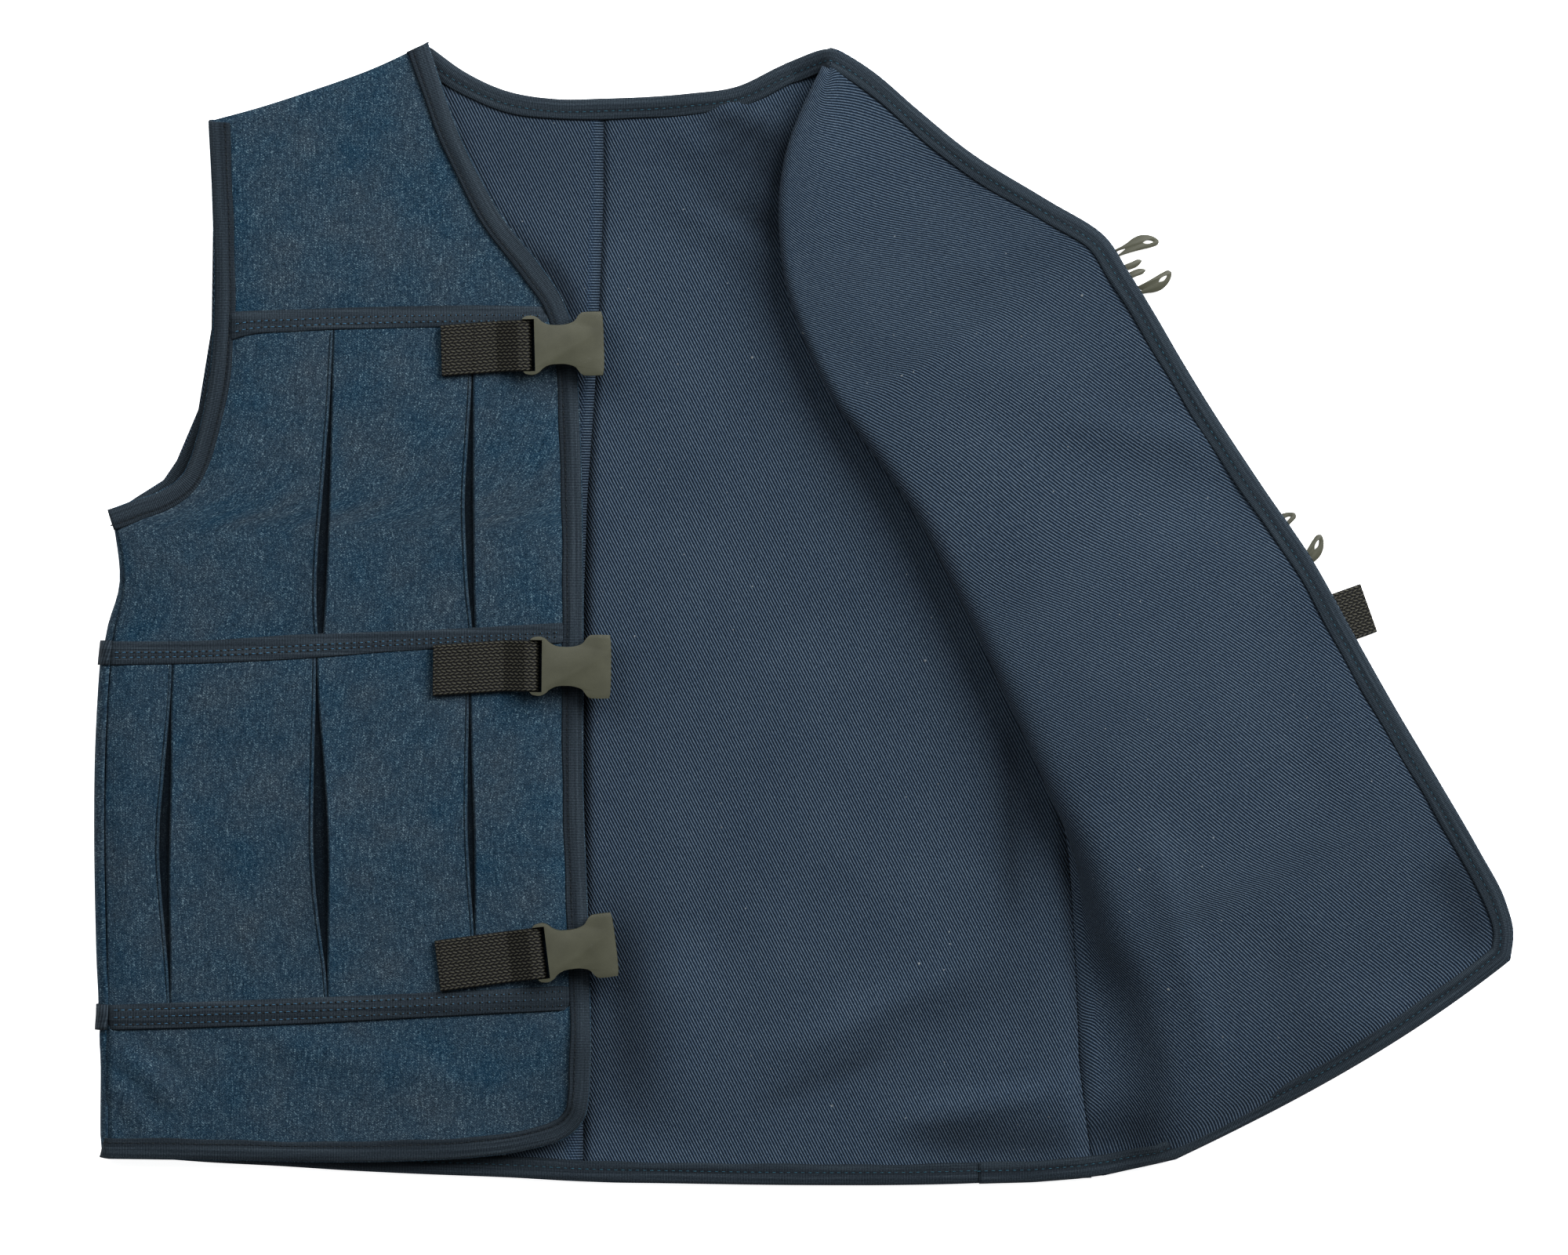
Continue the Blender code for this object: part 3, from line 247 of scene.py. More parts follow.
# Places of painted shade: where each painted shadow starts and ends, its half-width in mm and its depth
BACK_SHADE = (
    ((-50, 232), (-6, 210), 6.0, 0.5), ((-56, 208), (0, 184), 6.0, 0.4),
    ((-56, 247), (-2, 228), 6.0, 0.45), ((-6, 252), (-4, 150), 26.0, 0.38),
    ((50, -257), (140, -258), 11.0, 0.65), ((101, -44), (104, -150), 9.0, 0.6),
    ((-88, -130), (-84, -250), 15.0, 0.55), ((-24, -241), (42, -212), 6.0, 0.35),
    ((20, -222), (110, -170), 14.0, 0.2), ((-152, 192), (-112, 152), 8.0, 0.5),
    ((-130, 176), (-104, 132), 6.0, 0.6), ((-240, 238), (40, 232), 42.0, 0.16),
)
FLAP_SHADE = (
    ((316, -116), (332, -166), 13.0, 0.4), ((232, -150), (252, -228), 15.0, 0.15),
    ((140, 120), (190, 60), 40.0, 0.06), ((50, 240), (160, 190), 50.0, 0.12),
    ((100, -256), (184, -250), 15.0, 0.65),
)
# The most shade painted on any point of the cloth
MOST_SHADE = 0.7

# Thread: from one stitch to the next, the length that shows, its thickness and how far it sinks in
PITCH = 3.5
STITCH = 2.3
THREAD = 0.42
THREAD_SINK = 0.08

# Spacing of the points along the panels' edges, and along most tapes
EDGE_STEP = 1.5
TAPE_STEP = 2.0
# How far in from the bound edge the pockets end, and where a tape's inner line is measured
POCKET_INSET = 9.3
TAPE_REACH = 10.0
# How far before the buckle's bar a strap's legs end
LEG_END = 14.0
KEYS = ("upper", "middle", "lower")

# The least share of its flat box that a sheet's area is stated as
LEAST_AREA = 0.31
# The linear colour that painted deep shade turns cloth to, and how far it does
PAINTED_SHADE_COLOUR = (0.002, 0.0035, 0.006, 1)
PAINTED_SHADE_DEPTH = 0.8

# The photo's middle on the floor, and a lens that gives its 2.6 pixels to a millimetre of 2000
CAMERA_AIM = (-0.01006, -0.00563)
CAMERA_HEIGHT = 4.0
CAMERA_LENS = 36.0 * CAMERA_HEIGHT / (2000 / 2.6 * MM)


def put(name, data):
    """An object for a mesh, curve, light or camera, in the scene."""
    made = bpy.data.objects.new(name, data)
    bpy.context.scene.collection.objects.link(made)
    return made


def as_mesh(helper):
    """The finished shape of a helper object as a plain mesh; the helper is removed."""
    mesh = bpy.data.meshes.new_from_object(helper.evaluated_get(bpy.context.evaluated_depsgraph_get()))
    bpy.data.objects.remove(helper)
    return mesh


def linear(hex_colour):
    """An sRGB hex colour as linear RGBA."""
    parts = [int(hex_colour[k : k + 2], 16) / 255 for k in (1, 3, 5)]
    return (*[c / 12.92 if c <= 0.04045 else ((c + 0.055) / 1.055) ** 2.4 for c in parts], 1.0)


def add(tree, kind, inputs=None, **settings):
    """A new node with its settings; each input takes a value or another node's output."""
    made = tree.nodes.new(kind)
    for key, value in settings.items():
        setattr(made, key, value)
    for key, value in (inputs or {}).items():
        socket = made.inputs[key]
        if isinstance(value, bpy.types.NodeSocket):
            tree.links.new(value, socket)
        else:
            socket.default_value = value
    return made


def new_material(name, **constants):
    """A material with its shader, the constants set on the shader's own sockets."""
    material = bpy.data.materials.new(name)
    material.use_nodes = True
    shader = material.node_tree.nodes["Principled BSDF"]
    for key, value in constants.items():
        shader.inputs[key.replace("_", " ").title().replace("Ior", "IOR")].default_value = value
    return material, material.node_tree, shader


def count(tree, operation, *values):
    """A number worked out from one to three others."""
    return add(tree, "ShaderNodeMath", dict(enumerate(values)), operation=operation).outputs[0]


def mix(tree, share, first, second, blend="MIX"):
    """Two colours blended."""
    return add(
        tree, "ShaderNodeMix", {"Factor": share, 6: first, 7: second}, data_type="RGBA", blend_type=blend
    ).outputs[2]


def marked(tree, name):
    """How much the mesh is marked with this name, from 0 to 1."""
    return add(tree, "ShaderNodeAttribute", attribute_name=name).outputs["Fac"]


def millimetres(tree, turn=0.0, stretch=(1.0, 1.0)):
    """The cloth's own flat pattern in millimetres, turned by degrees and stretched."""
    uv = add(tree, "ShaderNodeUVMap", uv_map="pattern")
    return add(
        tree, "ShaderNodeMapping",
        {"Vector": uv.outputs["UV"], "Rotation": (0, 0, math.radians(turn)),
         "Scale": (1000 * stretch[0], 1000 * stretch[1], 1000)},
    ).outputs["Vector"]


def ribs(tree, vector, spacing, turn, drift=None):
    """Parallel ribs, from 0 in the grooves to 1 on the tops."""
    turn = math.radians(turn)
    wave = 2 * math.pi / spacing
    along = add(
        tree, "ShaderNodeVectorMath",
        {0: vector, 1: (-math.sin(turn) * wave, math.cos(turn) * wave, 0)},
        operation="DOT_PRODUCT",
    ).outputs["Value"]
    if drift:
        along = count(tree, "ADD", along, drift)
    return count(tree, "MULTIPLY_ADD", count(tree, "SINE", along), 0.5, 0.5)


def noise(tree, vector, scale, detail=2.0, roughness=0.5):
    inputs = {"Vector": vector, "Scale": scale, "Detail": detail, "Roughness": roughness}
    return add(tree, "ShaderNodeTexNoise", inputs).outputs["Fac"]


def weighted(tree, *terms, start=0.0):
    """A sum of values, each times its weight."""
    total = start
    for value, weight in terms:
        total = count(tree, "MULTIPLY_ADD", value, weight, total)
    return total


def ramp(tree, value, *stops):
    """Colours by value: each stop is a place and an sRGB hex colour."""
    made = add(tree, "ShaderNodeValToRGB", {"Fac": value})
    elements = made.color_ramp.elements
    while len(elements) < len(stops):
        elements.new(0.5)
    for element, (place, colour) in zip(elements, stops):
        element.position = place
        element.color = linear(colour)
    return made.outputs["Color"]


def finished(made, colour, height, depth_mm, strength, folds=True):
    """Gives a material its colour, with shade painted darker where the mesh's fold mark says, and its
    small bumps.
    """
    material, tree, shader = made
    if folds:
        # Painted shade: the fold mark darkens the colour towards near-black
        share = count(tree, "MULTIPLY", marked(tree, "fold"), PAINTED_SHADE_DEPTH)
        colour = mix(tree, share, colour, PAINTED_SHADE_COLOUR)
    tree.links.new(colour, shader.inputs["Base Color"])
    bumps = add(
        tree, "ShaderNodeBump", {"Height": height, "Distance": depth_mm * MM, "Strength": strength}
    )
    tree.links.new(bumps.outputs["Normal"], shader.inputs["Normal"])
    return material


COTTON = {"roughness": 0.92, "specular_ior_level": 0.12, "sheen_weight": 0.02, "sheen_roughness": 0.5}


def denim_material():
    """Washed cotton denim: indigo warp over a white weft, so it sparkles salt and pepper."""
    made = new_material("washed_cotton_denim", **COTTON)
    tree = made[1]
    flat = millimetres(tree)
    # Thick and thin warp yarns 0.7 mm apart, running with the grain
    slubs = noise(tree, millimetres(tree, stretch=(1.4, 0.09)), 1.0, 2.0, 0.7)
    # Weft floats, each its own shade, 0.48 by 0.33 mm
    floats = add(
        tree, "ShaderNodeTexVoronoi",
        {"Vector": millimetres(tree, -41, (2.1, 3.0)), "Scale": 1.0, "Randomness": 0.85},
    ).outputs["Color"]
    shade = add(tree, "ShaderNodeSeparateColor", {"Color": floats}).outputs["Red"]
    flecks = noise(tree, millimetres(tree, 0, (0.8, 0.6)), 1.0, 2.0, 0.7)
    # Twill lines, drawn 0.95 mm apart in place of the real 0.73 mm
    wales = ribs(tree, flat, 0.95, -41, weighted(tree, (flecks, 2.0)))
    value = weighted(tree, (shade, 0.8), (slubs, 0.7), (flecks, 0.1), (wales, 0.1), start=-0.285)
    colour = ramp(
        tree, value, (0.05, "#151f27"), (0.22, "#1f2b36"), (0.5, "#2a3844"), (0.76, "#37444e"),
        (0.93, "#4a5963"), (1.0, "#6b7a82"),
    )
    # Washing left it bluer in some places and greyer in others
    tint = weighted(tree, (noise(tree, flat, 0.03, 3.0, 0.6), 1.1), start=0.68)
    colour = add(tree, "ShaderNodeHueSaturation", {"Saturation": tint, "Color": colour}).outputs[0]
    return finished(made, colour, shade, 0.12, 0.5)


def twill_material():
    """Navy cotton twill: fine diagonal wales with dark grooves, a little lint on it."""
    made = new_material("navy_cotton_twill", **COTTON)
    tree = made[1]
    flat = millimetres(tree)
    grain = noise(tree, millimetres(tree, 27, (1.3, 0.6)), 1.0, 2.0, 0.6)
    # Wales 1.35 mm apart at 63 degrees, as in the photo; across the pressed seam they lie level
    wales = ribs(tree, flat, 1.35, -63, weighted(tree, (grain, 1.6)))
    across = ribs(tree, flat, 1.35, 0)
    inputs = {"Factor": marked(tree, "pressed"), 2: wales, 3: across}
    yarn = add(tree, "ShaderNodeMix", inputs, data_type="FLOAT").outputs[0]
    patches = noise(tree, flat, 0.02, 2.0, 0.5)
    value = weighted(tree, (yarn, 0.64), (grain, 0.42), (patches, 0.1), start=-0.1)
    colour = ramp(
        tree, value, (0.1, "#101922"), (0.36, "#202d3b"), (0.62, "#38485a"), (0.95, "#68757f")
    )
    lint = ramp(tree, noise(tree, flat, 0.33, 0.0), (0.862, "#000000"), (0.88, "#6a7074"))
    return finished(made, mix(tree, 1.0, colour, lint, "LIGHTEN"), yarn, 0.35, 0.8)


def tape_material():
    """Navy grosgrain tape: dull ribs across it and a firmer woven edge."""
    made = new_material(
        "navy_grosgrain_tape", roughness=0.85, specular_ior_level=0.15, sheen_weight=0.02,
        sheen_roughness=0.4,
    )
    tree = made[1]
    flat = millimetres(tree)
    # Real ribs are 0.5 mm apart; drawn 0.8 mm apart so that they show
    cross = ribs(tree, flat, 0.8, 90)
    lanes = noise(tree, millimetres(tree, 0, (0.012, 0.75)), 1.0, 2.0, 0.7)
    grain = noise(tree, flat, 1.1, 1.0, 0.6)
    value = weighted(tree, (cross, 0.34), (lanes, 0.8), (grain, 0.45), start=-0.3)
    colour = ramp(
        tree, value, (0.1, "#0d141a"), (0.42, "#212a32"), (0.72, "#374149"), (1.0, "#525c64")
    )
    return finished(made, colour, weighted(tree, (cross, 0.5), (lanes, 0.9)), 0.25, 0.7)


def webbing_material():
    """Black polypropylene webbing: plump yarns with a dull shine and deep gaps between them."""
    made = new_material(
        "black_polypropylene_webbing", roughness=0.62, specular_ior_level=0.3, sheen_weight=0.02
    )
    tree = made[1]
    fibre = noise(tree, millimetres(tree, 12, (0.7, 3.2)), 1.0, 2.0, 0.6)
    # The yarn mark sets the colour: painted shade near-black down in the gaps between yarns, a lighter
    # painted highlight on their crowns
    value = weighted(tree, (marked(tree, "yarn"), 0.95), (fibre, 0.4), start=-0.25)
    colour = ramp(tree, value, (0.15, "#010101"), (0.55, "#0f0f0c"), (0.95, "#4c4b3f"))
    return finished(made, colour, fibre, 0.15, 0.6, folds=False)


def buckle_material():
    """Moulded acetal: dark olive grey, matt from a sparked mould, with faint pale scuffs."""
    made = new_material("moulded_acetal", roughness=0.46, specular_ior_level=0.45, ior=1.48)
    tree = made[1]
    place = add(tree, "ShaderNodeTexCoord").outputs["Object"]
    place = add(tree, "ShaderNodeMapping", {"Vector": place, "Scale": (1000, 1000, 1000)}).outputs[0]
    pits = noise(tree, place, 2.2, 2.0, 0.6)
    value = weighted(tree, (noise(tree, place, 0.09, 2.0), 0.7), (pits, 0.3))
    base = ramp(tree, value, (0.3, "#3c3d31"), (0.7, "#48493c"))
    # Scuffs: thin pale lines where warped noise crosses one value
    inputs = {"Vector": place, "Rotation": (0, 0, 0.6), "Scale": (0.05, 0.3, 0.3)}
    warped = noise(tree, add(tree, "ShaderNodeMapping", inputs).outputs[0], 1.0, 4.0, 0.6)
    line = ramp(tree, warped, (0.594, "#000000"), (0.6, "#606157"), (0.606, "#000000"))
    share = ramp(tree, noise(tree, place, 0.25, 1.0), (0.5, "#000000"), (0.62, "#ffffff"))
    scuffed = mix(tree, 1.0, base, mix(tree, 1.0, line, share, "MULTIPLY"), "LIGHTEN")
    return finished(made, scuffed, pits, 0.06, 0.5, folds=False)


def thread_material(name, dark, light):
    """Spun polyester thread: two plies twisted, so each stitch has a fine slanting line."""
    made = new_material(name, roughness=0.65, specular_ior_level=0.35)
    tree = made[1]
    plies = noise(tree, add(tree, "ShaderNodeTexCoord").outputs["Object"], 2200.0, 1.0)
    return finished(made, ramp(tree, plies, (0.3, dark), (0.7, light)), plies, 0.05, 0.5, folds=False)


MATERIALS = {
    "denim": denim_material(),
    "twill": twill_material(),
    "tape": tape_material(),
    "webbing": webbing_material(),
    "buckle": buckle_material(),
}
PALE_THREAD = thread_material("slate_blue_polyester_thread", "#24455c", "#456f89")
DARK_THREAD = thread_material("dark_teal_polyester_thread", "#020609", "#0b1d26")
TEAL_THREAD = thread_material("teal_polyester_thread", "#123442", "#2b5a6b")
BLACK_THREAD = thread_material("black_polyester_thread", "#0b0b0a", "#1d1d19")


def unit(vectors):
    """The same directions, each 1 long."""
    return vectors / np.maximum(np.linalg.norm(vectors, axis=-1, keepdims=True), 1e-9)


def columns(source, names):
    """Columns of a table side by side."""
    return np.stack([source[name] for name in names.split()], axis=1)


def lookup(at, places, values):
    """Rows of values at other places, along straight lines between the given ones."""
    return np.stack([np.interp(at, places, column) for column in values.T], axis=1)


def with_height(line, height):
    """A flat line with a height, or a height for each of its points."""
    return np.column_stack((line, np.broadcast_to(height, len(line))))


def hermite(places, values, at):
    """Values at other places, along a smooth curve through the given ones."""
    slopes = np.gradient(values, places, axis=0)
    row = np.clip(np.searchsorted(places, at, "right") - 1, 0, len(places) - 2)
    span = places[row + 1] - places[row]
    t = (at - places[row]) / span
    if values.ndim > 1:
        t, span = t[:, None], span[:, None]
    return (
        (2 * t**3 - 3 * t**2 + 1) * values[row] + (3 * t**2 - 2 * t**3) * values[row + 1]
        + (t**3 - 2 * t**2 + t) * span * slopes[row] + (t**3 - t**2) * span * slopes[row + 1]
    )


def lengths_along(points):
    return np.concatenate(((0.0,), np.cumsum(np.linalg.norm(np.diff(points, axis=0), axis=1))))


def through(points, corners=(), step=FINE):
    """A smooth line through points, with a corner at the given ones and a point at about every step."""
    points = np.array(points, float)
    stops = sorted({0, *corners, len(points) - 1})
    runs = []
    for first, last in zip(stops[:-1], stops[1:]):
        places = lengths_along(points[first : last + 1])
        at = np.linspace(0, places[-1], max(2, round(places[-1] / step) + 1))
        run = hermite(places, points[first : last + 1], at)
        runs.append(run[1:] if runs else run)
    return np.concatenate(runs)


def resampled(line, number):
    """The same line with this many points, evenly spaced."""
    along = lengths_along(line)
    return lookup(np.linspace(0, along[-1], number), along, line)


def at_heights(line, heights):
    """Points of a line that only rises, at the given heights."""
    return np.stack((np.interp(heights, line[:, 1], line[:, 0]), heights), axis=1)


def patch(low, high, left, right, u, v):
    """A grid filled in between four edges that share their corners, at shares across and up."""
    u, v = u[None, :, None], v[:, None, None]
    low, high, left, right = low[None], high[None], left[:, None], right[:, None]
    corners = (1 - v) * ((1 - u) * low[:, :1] + u * low[:, -1:])
    corners = corners + v * ((1 - u) * high[:, :1] + u * high[:, -1:])
    return (1 - v) * low + v * high + (1 - u) * left + u * right - corners


def smooth(value, low, high):
    """0 below low, 1 above high, and a soft step between."""
    t = np.clip((value - low) / (high - low), 0, 1)
    return t * t * (3 - 2 * t)


WAVES = np.random.default_rng(7)
WAVE_TABLE = {
    key: (WAVES.uniform(0, 2 * math.pi, 7), WAVES.uniform(0, 2 * math.pi, 7))
    for key in ("front", "back", "flap", "pocket", "tape", "band")
}


def waves(key, x, y, longest, height):
    """Low soft waves over a surface, from a fixed set of directions."""
    total = np.zeros_like(np.asarray(x, float))
    for k, (turn, start) in enumerate(zip(*WAVE_TABLE[key])):
        size = 2 * math.pi / (longest * 0.78**k)
        total = total + 0.8**k * np.sin((x * math.cos(turn) + y * math.sin(turn)) * size + start)
    return height * total / 3


def ridge(x, y, start, end, width, height):
    """One soft fold along a line, fading out at both ends."""
    run = np.subtract(end, start).astype(float)
    length = np.linalg.norm(run)
    run /= length
    along = ((x - start[0]) * run[0] + (y - start[1]) * run[1]) / length
    off = (x - start[0]) * -run[1] + (y - start[1]) * run[0]
    fade = smooth(along, -0.15, 0.3) * (1 - smooth(along, 0.7, 1.15))
    return height * fade * np.exp(-((off / width) ** 2))


def ridges(x, y, lines):
    """All the soft folds of a table together."""
    return sum(ridge(x, y, *line) for line in lines)


class Cloth:
    """A grid of points on a panel's inner face, the directions to its outer side, and its flat pattern."""

    def __init__(self, points, out, pattern):
        self.points = points
        self.out = out
        self.pattern = pattern

    def part(self, rows=slice(None), cut=slice(None)):
        return Cloth(self.points[rows, cut], self.out[rows, cut], self.pattern[rows, cut])


def grid_normals(points, side):
    return side * unit(np.cross(np.gradient(points, axis=1), np.gradient(points, axis=0)))


def in_scene(points):
    """Millimetres in the tables' frame as metres in the scene."""
    return (np.asarray(points) - (*OUTLINE_CENTRE, 0.0)) * MM


def new_sheet(name, inner, outer, slot, pattern, marks):
    """A closed sheet between two grids of points, with its flat pattern and marks on both faces."""
    rows, wide, _ = inner.shape
    other = rows * wide
    index = np.arange(other).reshape(rows, wide)
    top = np.stack((index[:-1, :-1], index[:-1, 1:], index[1:, 1:], index[1:, :-1]), axis=-1)
    top = top.reshape(-1, 4)
    rim = np.concatenate((index[0, :-1], index[:-1, -1], index[-1, :0:-1], index[:0:-1, 0]))
    after = np.roll(rim, -1)
    sides = np.stack((rim, after, after + other, rim + other), axis=1)
    faces = np.concatenate((top[:, ::-1], top + other, sides))
    vertices = np.concatenate((inner.reshape(-1, 3), outer.reshape(-1, 3)))
    a, b, c, d = (vertices[faces[:, k]] for k in range(4))
    if (a * (np.cross(b, c) + np.cross(c, d))).sum() < 0:
        faces = faces[:, ::-1]
    mesh = bpy.data.meshes.new(name)
    mesh.from_pydata(in_scene(vertices).tolist(), [], faces.tolist())
    mesh.shade_smooth()
    layer = mesh.uv_layers.new(name="pattern")
    flat = np.concatenate((pattern.reshape(-1, 2),) * 2)[faces.ravel()] * MM
    layer.data.foreach_set("uv", flat.astype(np.float32).ravel())
    for key, values in marks.items():
        attribute = mesh.attributes.new(key, "FLOAT", "POINT")
        attribute.data.foreach_set("value", np.tile(values.ravel(), 2).astype(np.float32))
    mesh.materials.append(MATERIALS[slot])
    piece = put(name, mesh)
    return piece


def settle(piece, node):
    """The piece stands for its CAD node and rides on the one body."""
    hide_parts(node)
    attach(piece, "root")


def panel(name, cloth, start, thick, slot, marks=None, ending="cloth"):
    """A layer from one distance off its panel's inner face on: the sheet that its flat pattern says."""
    p, out = cloth.points, cloth.out
    inner, outer = p + start * out, p + (start + thick) * out
    piece = new_sheet(f"{name}_{ending}", inner, outer, slot, cloth.pattern, marks or {})
    width, length = (np.ptp(cloth.pattern[..., k]) * MM for k in (0, 1))
    crossed = np.cross(p[1:, 1:] - p[:-1, :-1], p[1:, :-1] - p[:-1, 1:])
    area = np.linalg.norm(crossed, axis=2).sum() / 2 * MM * MM
    area = min(max(area, LEAST_AREA * width * length), width * length)
    settle(piece, name)


# The tape's outer face: distance in from the edge, and height over the panel's inner face
TAPE_SECTION = np.array(
    (
        (10.3, 3.15), (9.6, 3.42), (8.6, 3.5), (7.9, 3.3), (7.2, 3.5), (5.6, 3.75), (4.0, 3.7), (2.6, 3.5),
        (1.4, 3.1), (0.5, 2.5), (0.0, 1.7), (-0.1, 0.9), (0.2, 0.1), (0.8, -0.55), (1.8, -1.0),
        (3.2, -1.25), (5.0, -1.2), (6.2, -0.95), (7.2, -1.15), (8.6, -1.2), (9.7, -1.05), (10.3, -0.8),
    )
)
# Painted shade, through the fold mark: darker where the stitches pull the tape in and along its cut edges
TAPE_SHADE = np.array(
    (0.5, 0.3, 0.35, 0.8, 0.3, 0.0, 0.0, 0.0, 0.0, 0.1, 0.1, 0.1, 0.0, 0.0, 0.0, 0.0, 0.25, 0.8,
     0.25, 0.1, 0.25, 0.5)
)
DENIM_STITCH = (7.9, 3.3)
LINING_STITCH = (6.2, -0.95)


def inner_line(edge, inward, width):
    """Points a tape's width in from an edge, pulled together where a tight corner crosses them."""
    inner = edge + inward * width
    gaps = np.linalg.norm(inner[:, None, :2] - edge[None, :, :2], axis=2).min(axis=1)
    good = gaps > width * 0.93
    if good.all() or not good.any():
        return inner
    places = np.arange(len(edge))
    return lookup(places, places[good], inner[good])


def tape(name, edge, inward, out, pucker=0.0, top_rise=0.0, cap=0.0):
    """Binding tape folded round an edge, from the lining to the shell."""
    along = lengths_along(edge)
    reach = (inner_line(edge, inward, TAPE_REACH) - edge) / TAPE_REACH
    place, height = TAPE_SECTION.T
    height = height + top_rise * smooth(place, 1.5, 7.0) * (height > 1.0)
    inner_share = smooth(place, 4.0, 10.0)
    wobble = 0.02 * np.sin(along / 17.0 + 1.0) + 0.02 * np.sin(along / 6.3)
    lift = pucker * (np.sin(along / 3.7) * 0.5 + np.sin(along / 9.1 + 2)) * 0.5
    place = place * (1 + wobble[:, None] * inner_share)
    height = height + np.sign(height) * lift[:, None] * inner_share
    points = edge[:, None] + reach[:, None] * place[..., None] + out[:, None] * height[..., None]
    if cap:
        # Cut off along the shoulder seam
        points[..., 1] = np.minimum(points[..., 1], shoulder_height(points[..., 0]) + cap)
    flat = unit(np.gradient(TAPE_SECTION, axis=0)[:, ::-1] * (1, -1))
    normals = inward[:, None] * flat[None, :, :1] + out[:, None] * flat[None, :, 1:]
    across = lengths_along(TAPE_SECTION)
    pattern = np.stack(np.broadcast_arrays(along[:, None], across[None, :]), axis=2)
    # The fold mark paints shade into the tape's stitch grooves and along its edges
    marks = {"fold": np.broadcast_to(TAPE_SHADE, points.shape[:2])}
    cloth = Cloth(points, normals, pattern)
    panel(name, cloth, -TAPE_WALL, TAPE_WALL, "tape", marks, "binding")
    return edge, reach, out


def shoulder_height(x):
    """The shoulder seam's y at any x, carried on straight past its two ends."""
    line = np.array(SHOULDER)
    line = np.concatenate((2 * line[:1] - line[1:2], line, 2 * line[-1:] - line[-2:-1]))
    return np.interp(x, line[:, 0], line[:, 1])


def stitch_line(run, spot, rise=0.0):
    """The line of a stitch row, sunk a little into a tape, at a distance from the edge and a height."""
    edge, reach, out = run
    height = spot[1] + rise
    height -= math.copysign(THREAD_SINK, height)
    return edge + reach * spot[0] + out * height


def smooth_line(line, turns):
    for _ in range(turns):
        line = np.concatenate((line[:1], (line[:-2] + 2 * line[1:-1] + line[2:]) / 4, line[-1:]))
    return line


def square_to(edge, out, side):
    """Unit directions into the panel, square to its edge and its normals."""
    return unit(side * np.cross(out, np.gradient(edge, axis=0)))


def level_frame(edge, side, up=1.0):
    """Directions into and out of a panel that lies level, along its edge."""
    out = np.broadcast_to((0.0, 0.0, up), edge.shape)
    return square_to(edge, out, side), out


def stitch_tree():
    """A row of stitches along each line: a small spindle of thread at every pitch."""
    tree = bpy.data.node_groups.new("row_of_stitches", "GeometryNodeTree")
    face = tree.interface
    face.new_socket("Lines", in_out="INPUT", socket_type="NodeSocketGeometry")
    for name, value in (("Pitch", PITCH * MM), ("Stitch", STITCH * MM), ("Thread", THREAD * MM)):
        face.new_socket(name, in_out="INPUT", socket_type="NodeSocketFloat").default_value = value
    face.new_socket("Finish", in_out="INPUT", socket_type="NodeSocketMaterial")
    face.new_socket("Stitches", in_out="OUTPUT", socket_type="NodeSocketGeometry")
    given = add(tree, "NodeGroupInput").outputs
    curve = add(tree, "GeometryNodeMeshToCurve", {"Mesh": given["Lines"]}).outputs["Curve"]
    inputs = {"Curve": curve, "Length": given["Pitch"]}
    even = add(tree, "GeometryNodeResampleCurve", inputs, mode="LENGTH").outputs["Curve"]
    run = add(tree, "GeometryNodeInputTangent").outputs["Tangent"]
    turn = add(tree, "FunctionNodeAlignRotationToVector", {"Vector": run}, axis="X").outputs["Rotation"]
    inputs = {"Segments": 6, "Rings": 5, "Radius": 0.5}
    bead = add(tree, "GeometryNodeMeshUVSphere", inputs).outputs["Mesh"]
    inputs = {"X": given["Stitch"], "Y": given["Thread"], "Z": given["Thread"]}
    size = add(tree, "ShaderNodeCombineXYZ", inputs).outputs["Vector"]
    inputs = {"Points": even, "Instance": bead, "Rotation": turn, "Scale": size}
    row = add(tree, "GeometryNodeInstanceOnPoints", inputs).outputs["Instances"]
    real = add(tree, "GeometryNodeRealizeInstances", {"Geometry": row}).outputs["Geometry"]
    inputs = {"Geometry": real, "Material": given["Finish"]}
    done = add(tree, "GeometryNodeSetMaterial", inputs).outputs["Geometry"]
    add(tree, "NodeGroupOutput", {"Stitches": done})
    return tree


STITCHES = stitch_tree()


def stitches(name, lines, thread, pitch=PITCH, stitch=STITCH, thick=THREAD):
    """Rows of stitches along lines of points, as one plain mesh."""
    vertices, edges = [], []
    for line in lines:
        first = len(vertices)
        vertices += in_scene(line).tolist()
        edges += [(k, k + 1) for k in range(first, first + len(line) - 1)]
    mesh = bpy.data.meshes.new(name)
    mesh.from_pydata(vertices, edges, [])
    guide = put(name + "_guide", mesh)
    rows = guide.modifiers.new("Stitches", "NODES")
    rows.node_group = STITCHES
    values = {"Pitch": pitch * MM, "Stitch": stitch * MM, "Thread": thick * MM, "Finish": thread}
    for item in STITCHES.interface.items_tree:
        if item.in_out == "INPUT" and item.name in values:
            rows[item.identifier] = values[item.name]
    made = as_mesh(guide)
    made.name = name
    made.shade_smooth()
    piece = put(name, made)
    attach(piece, "root")


# Low folds on the closed front: where each starts and ends, its half-width and its height
FRONT_FOLDS = (
    ((-336, -212), (-306, -240), 4.5, 2.6), ((-338, -228), (-322, -252), 4.0, 1.8),
    ((-276, -206), (-150, -232), 7.0, 1.5), ((-324, 2), (-272, 84), 9.0, 1.7),
    ((-328, -208), (-300, -226), 4.5, -0.9), ((-230, -226), (-180, -240), 9.0, 0.9),
    ((-102, -196), (-110, -252), 22.0, 4.5), ((-280, 120), (-240, 200), 16.0, 0.6),
)
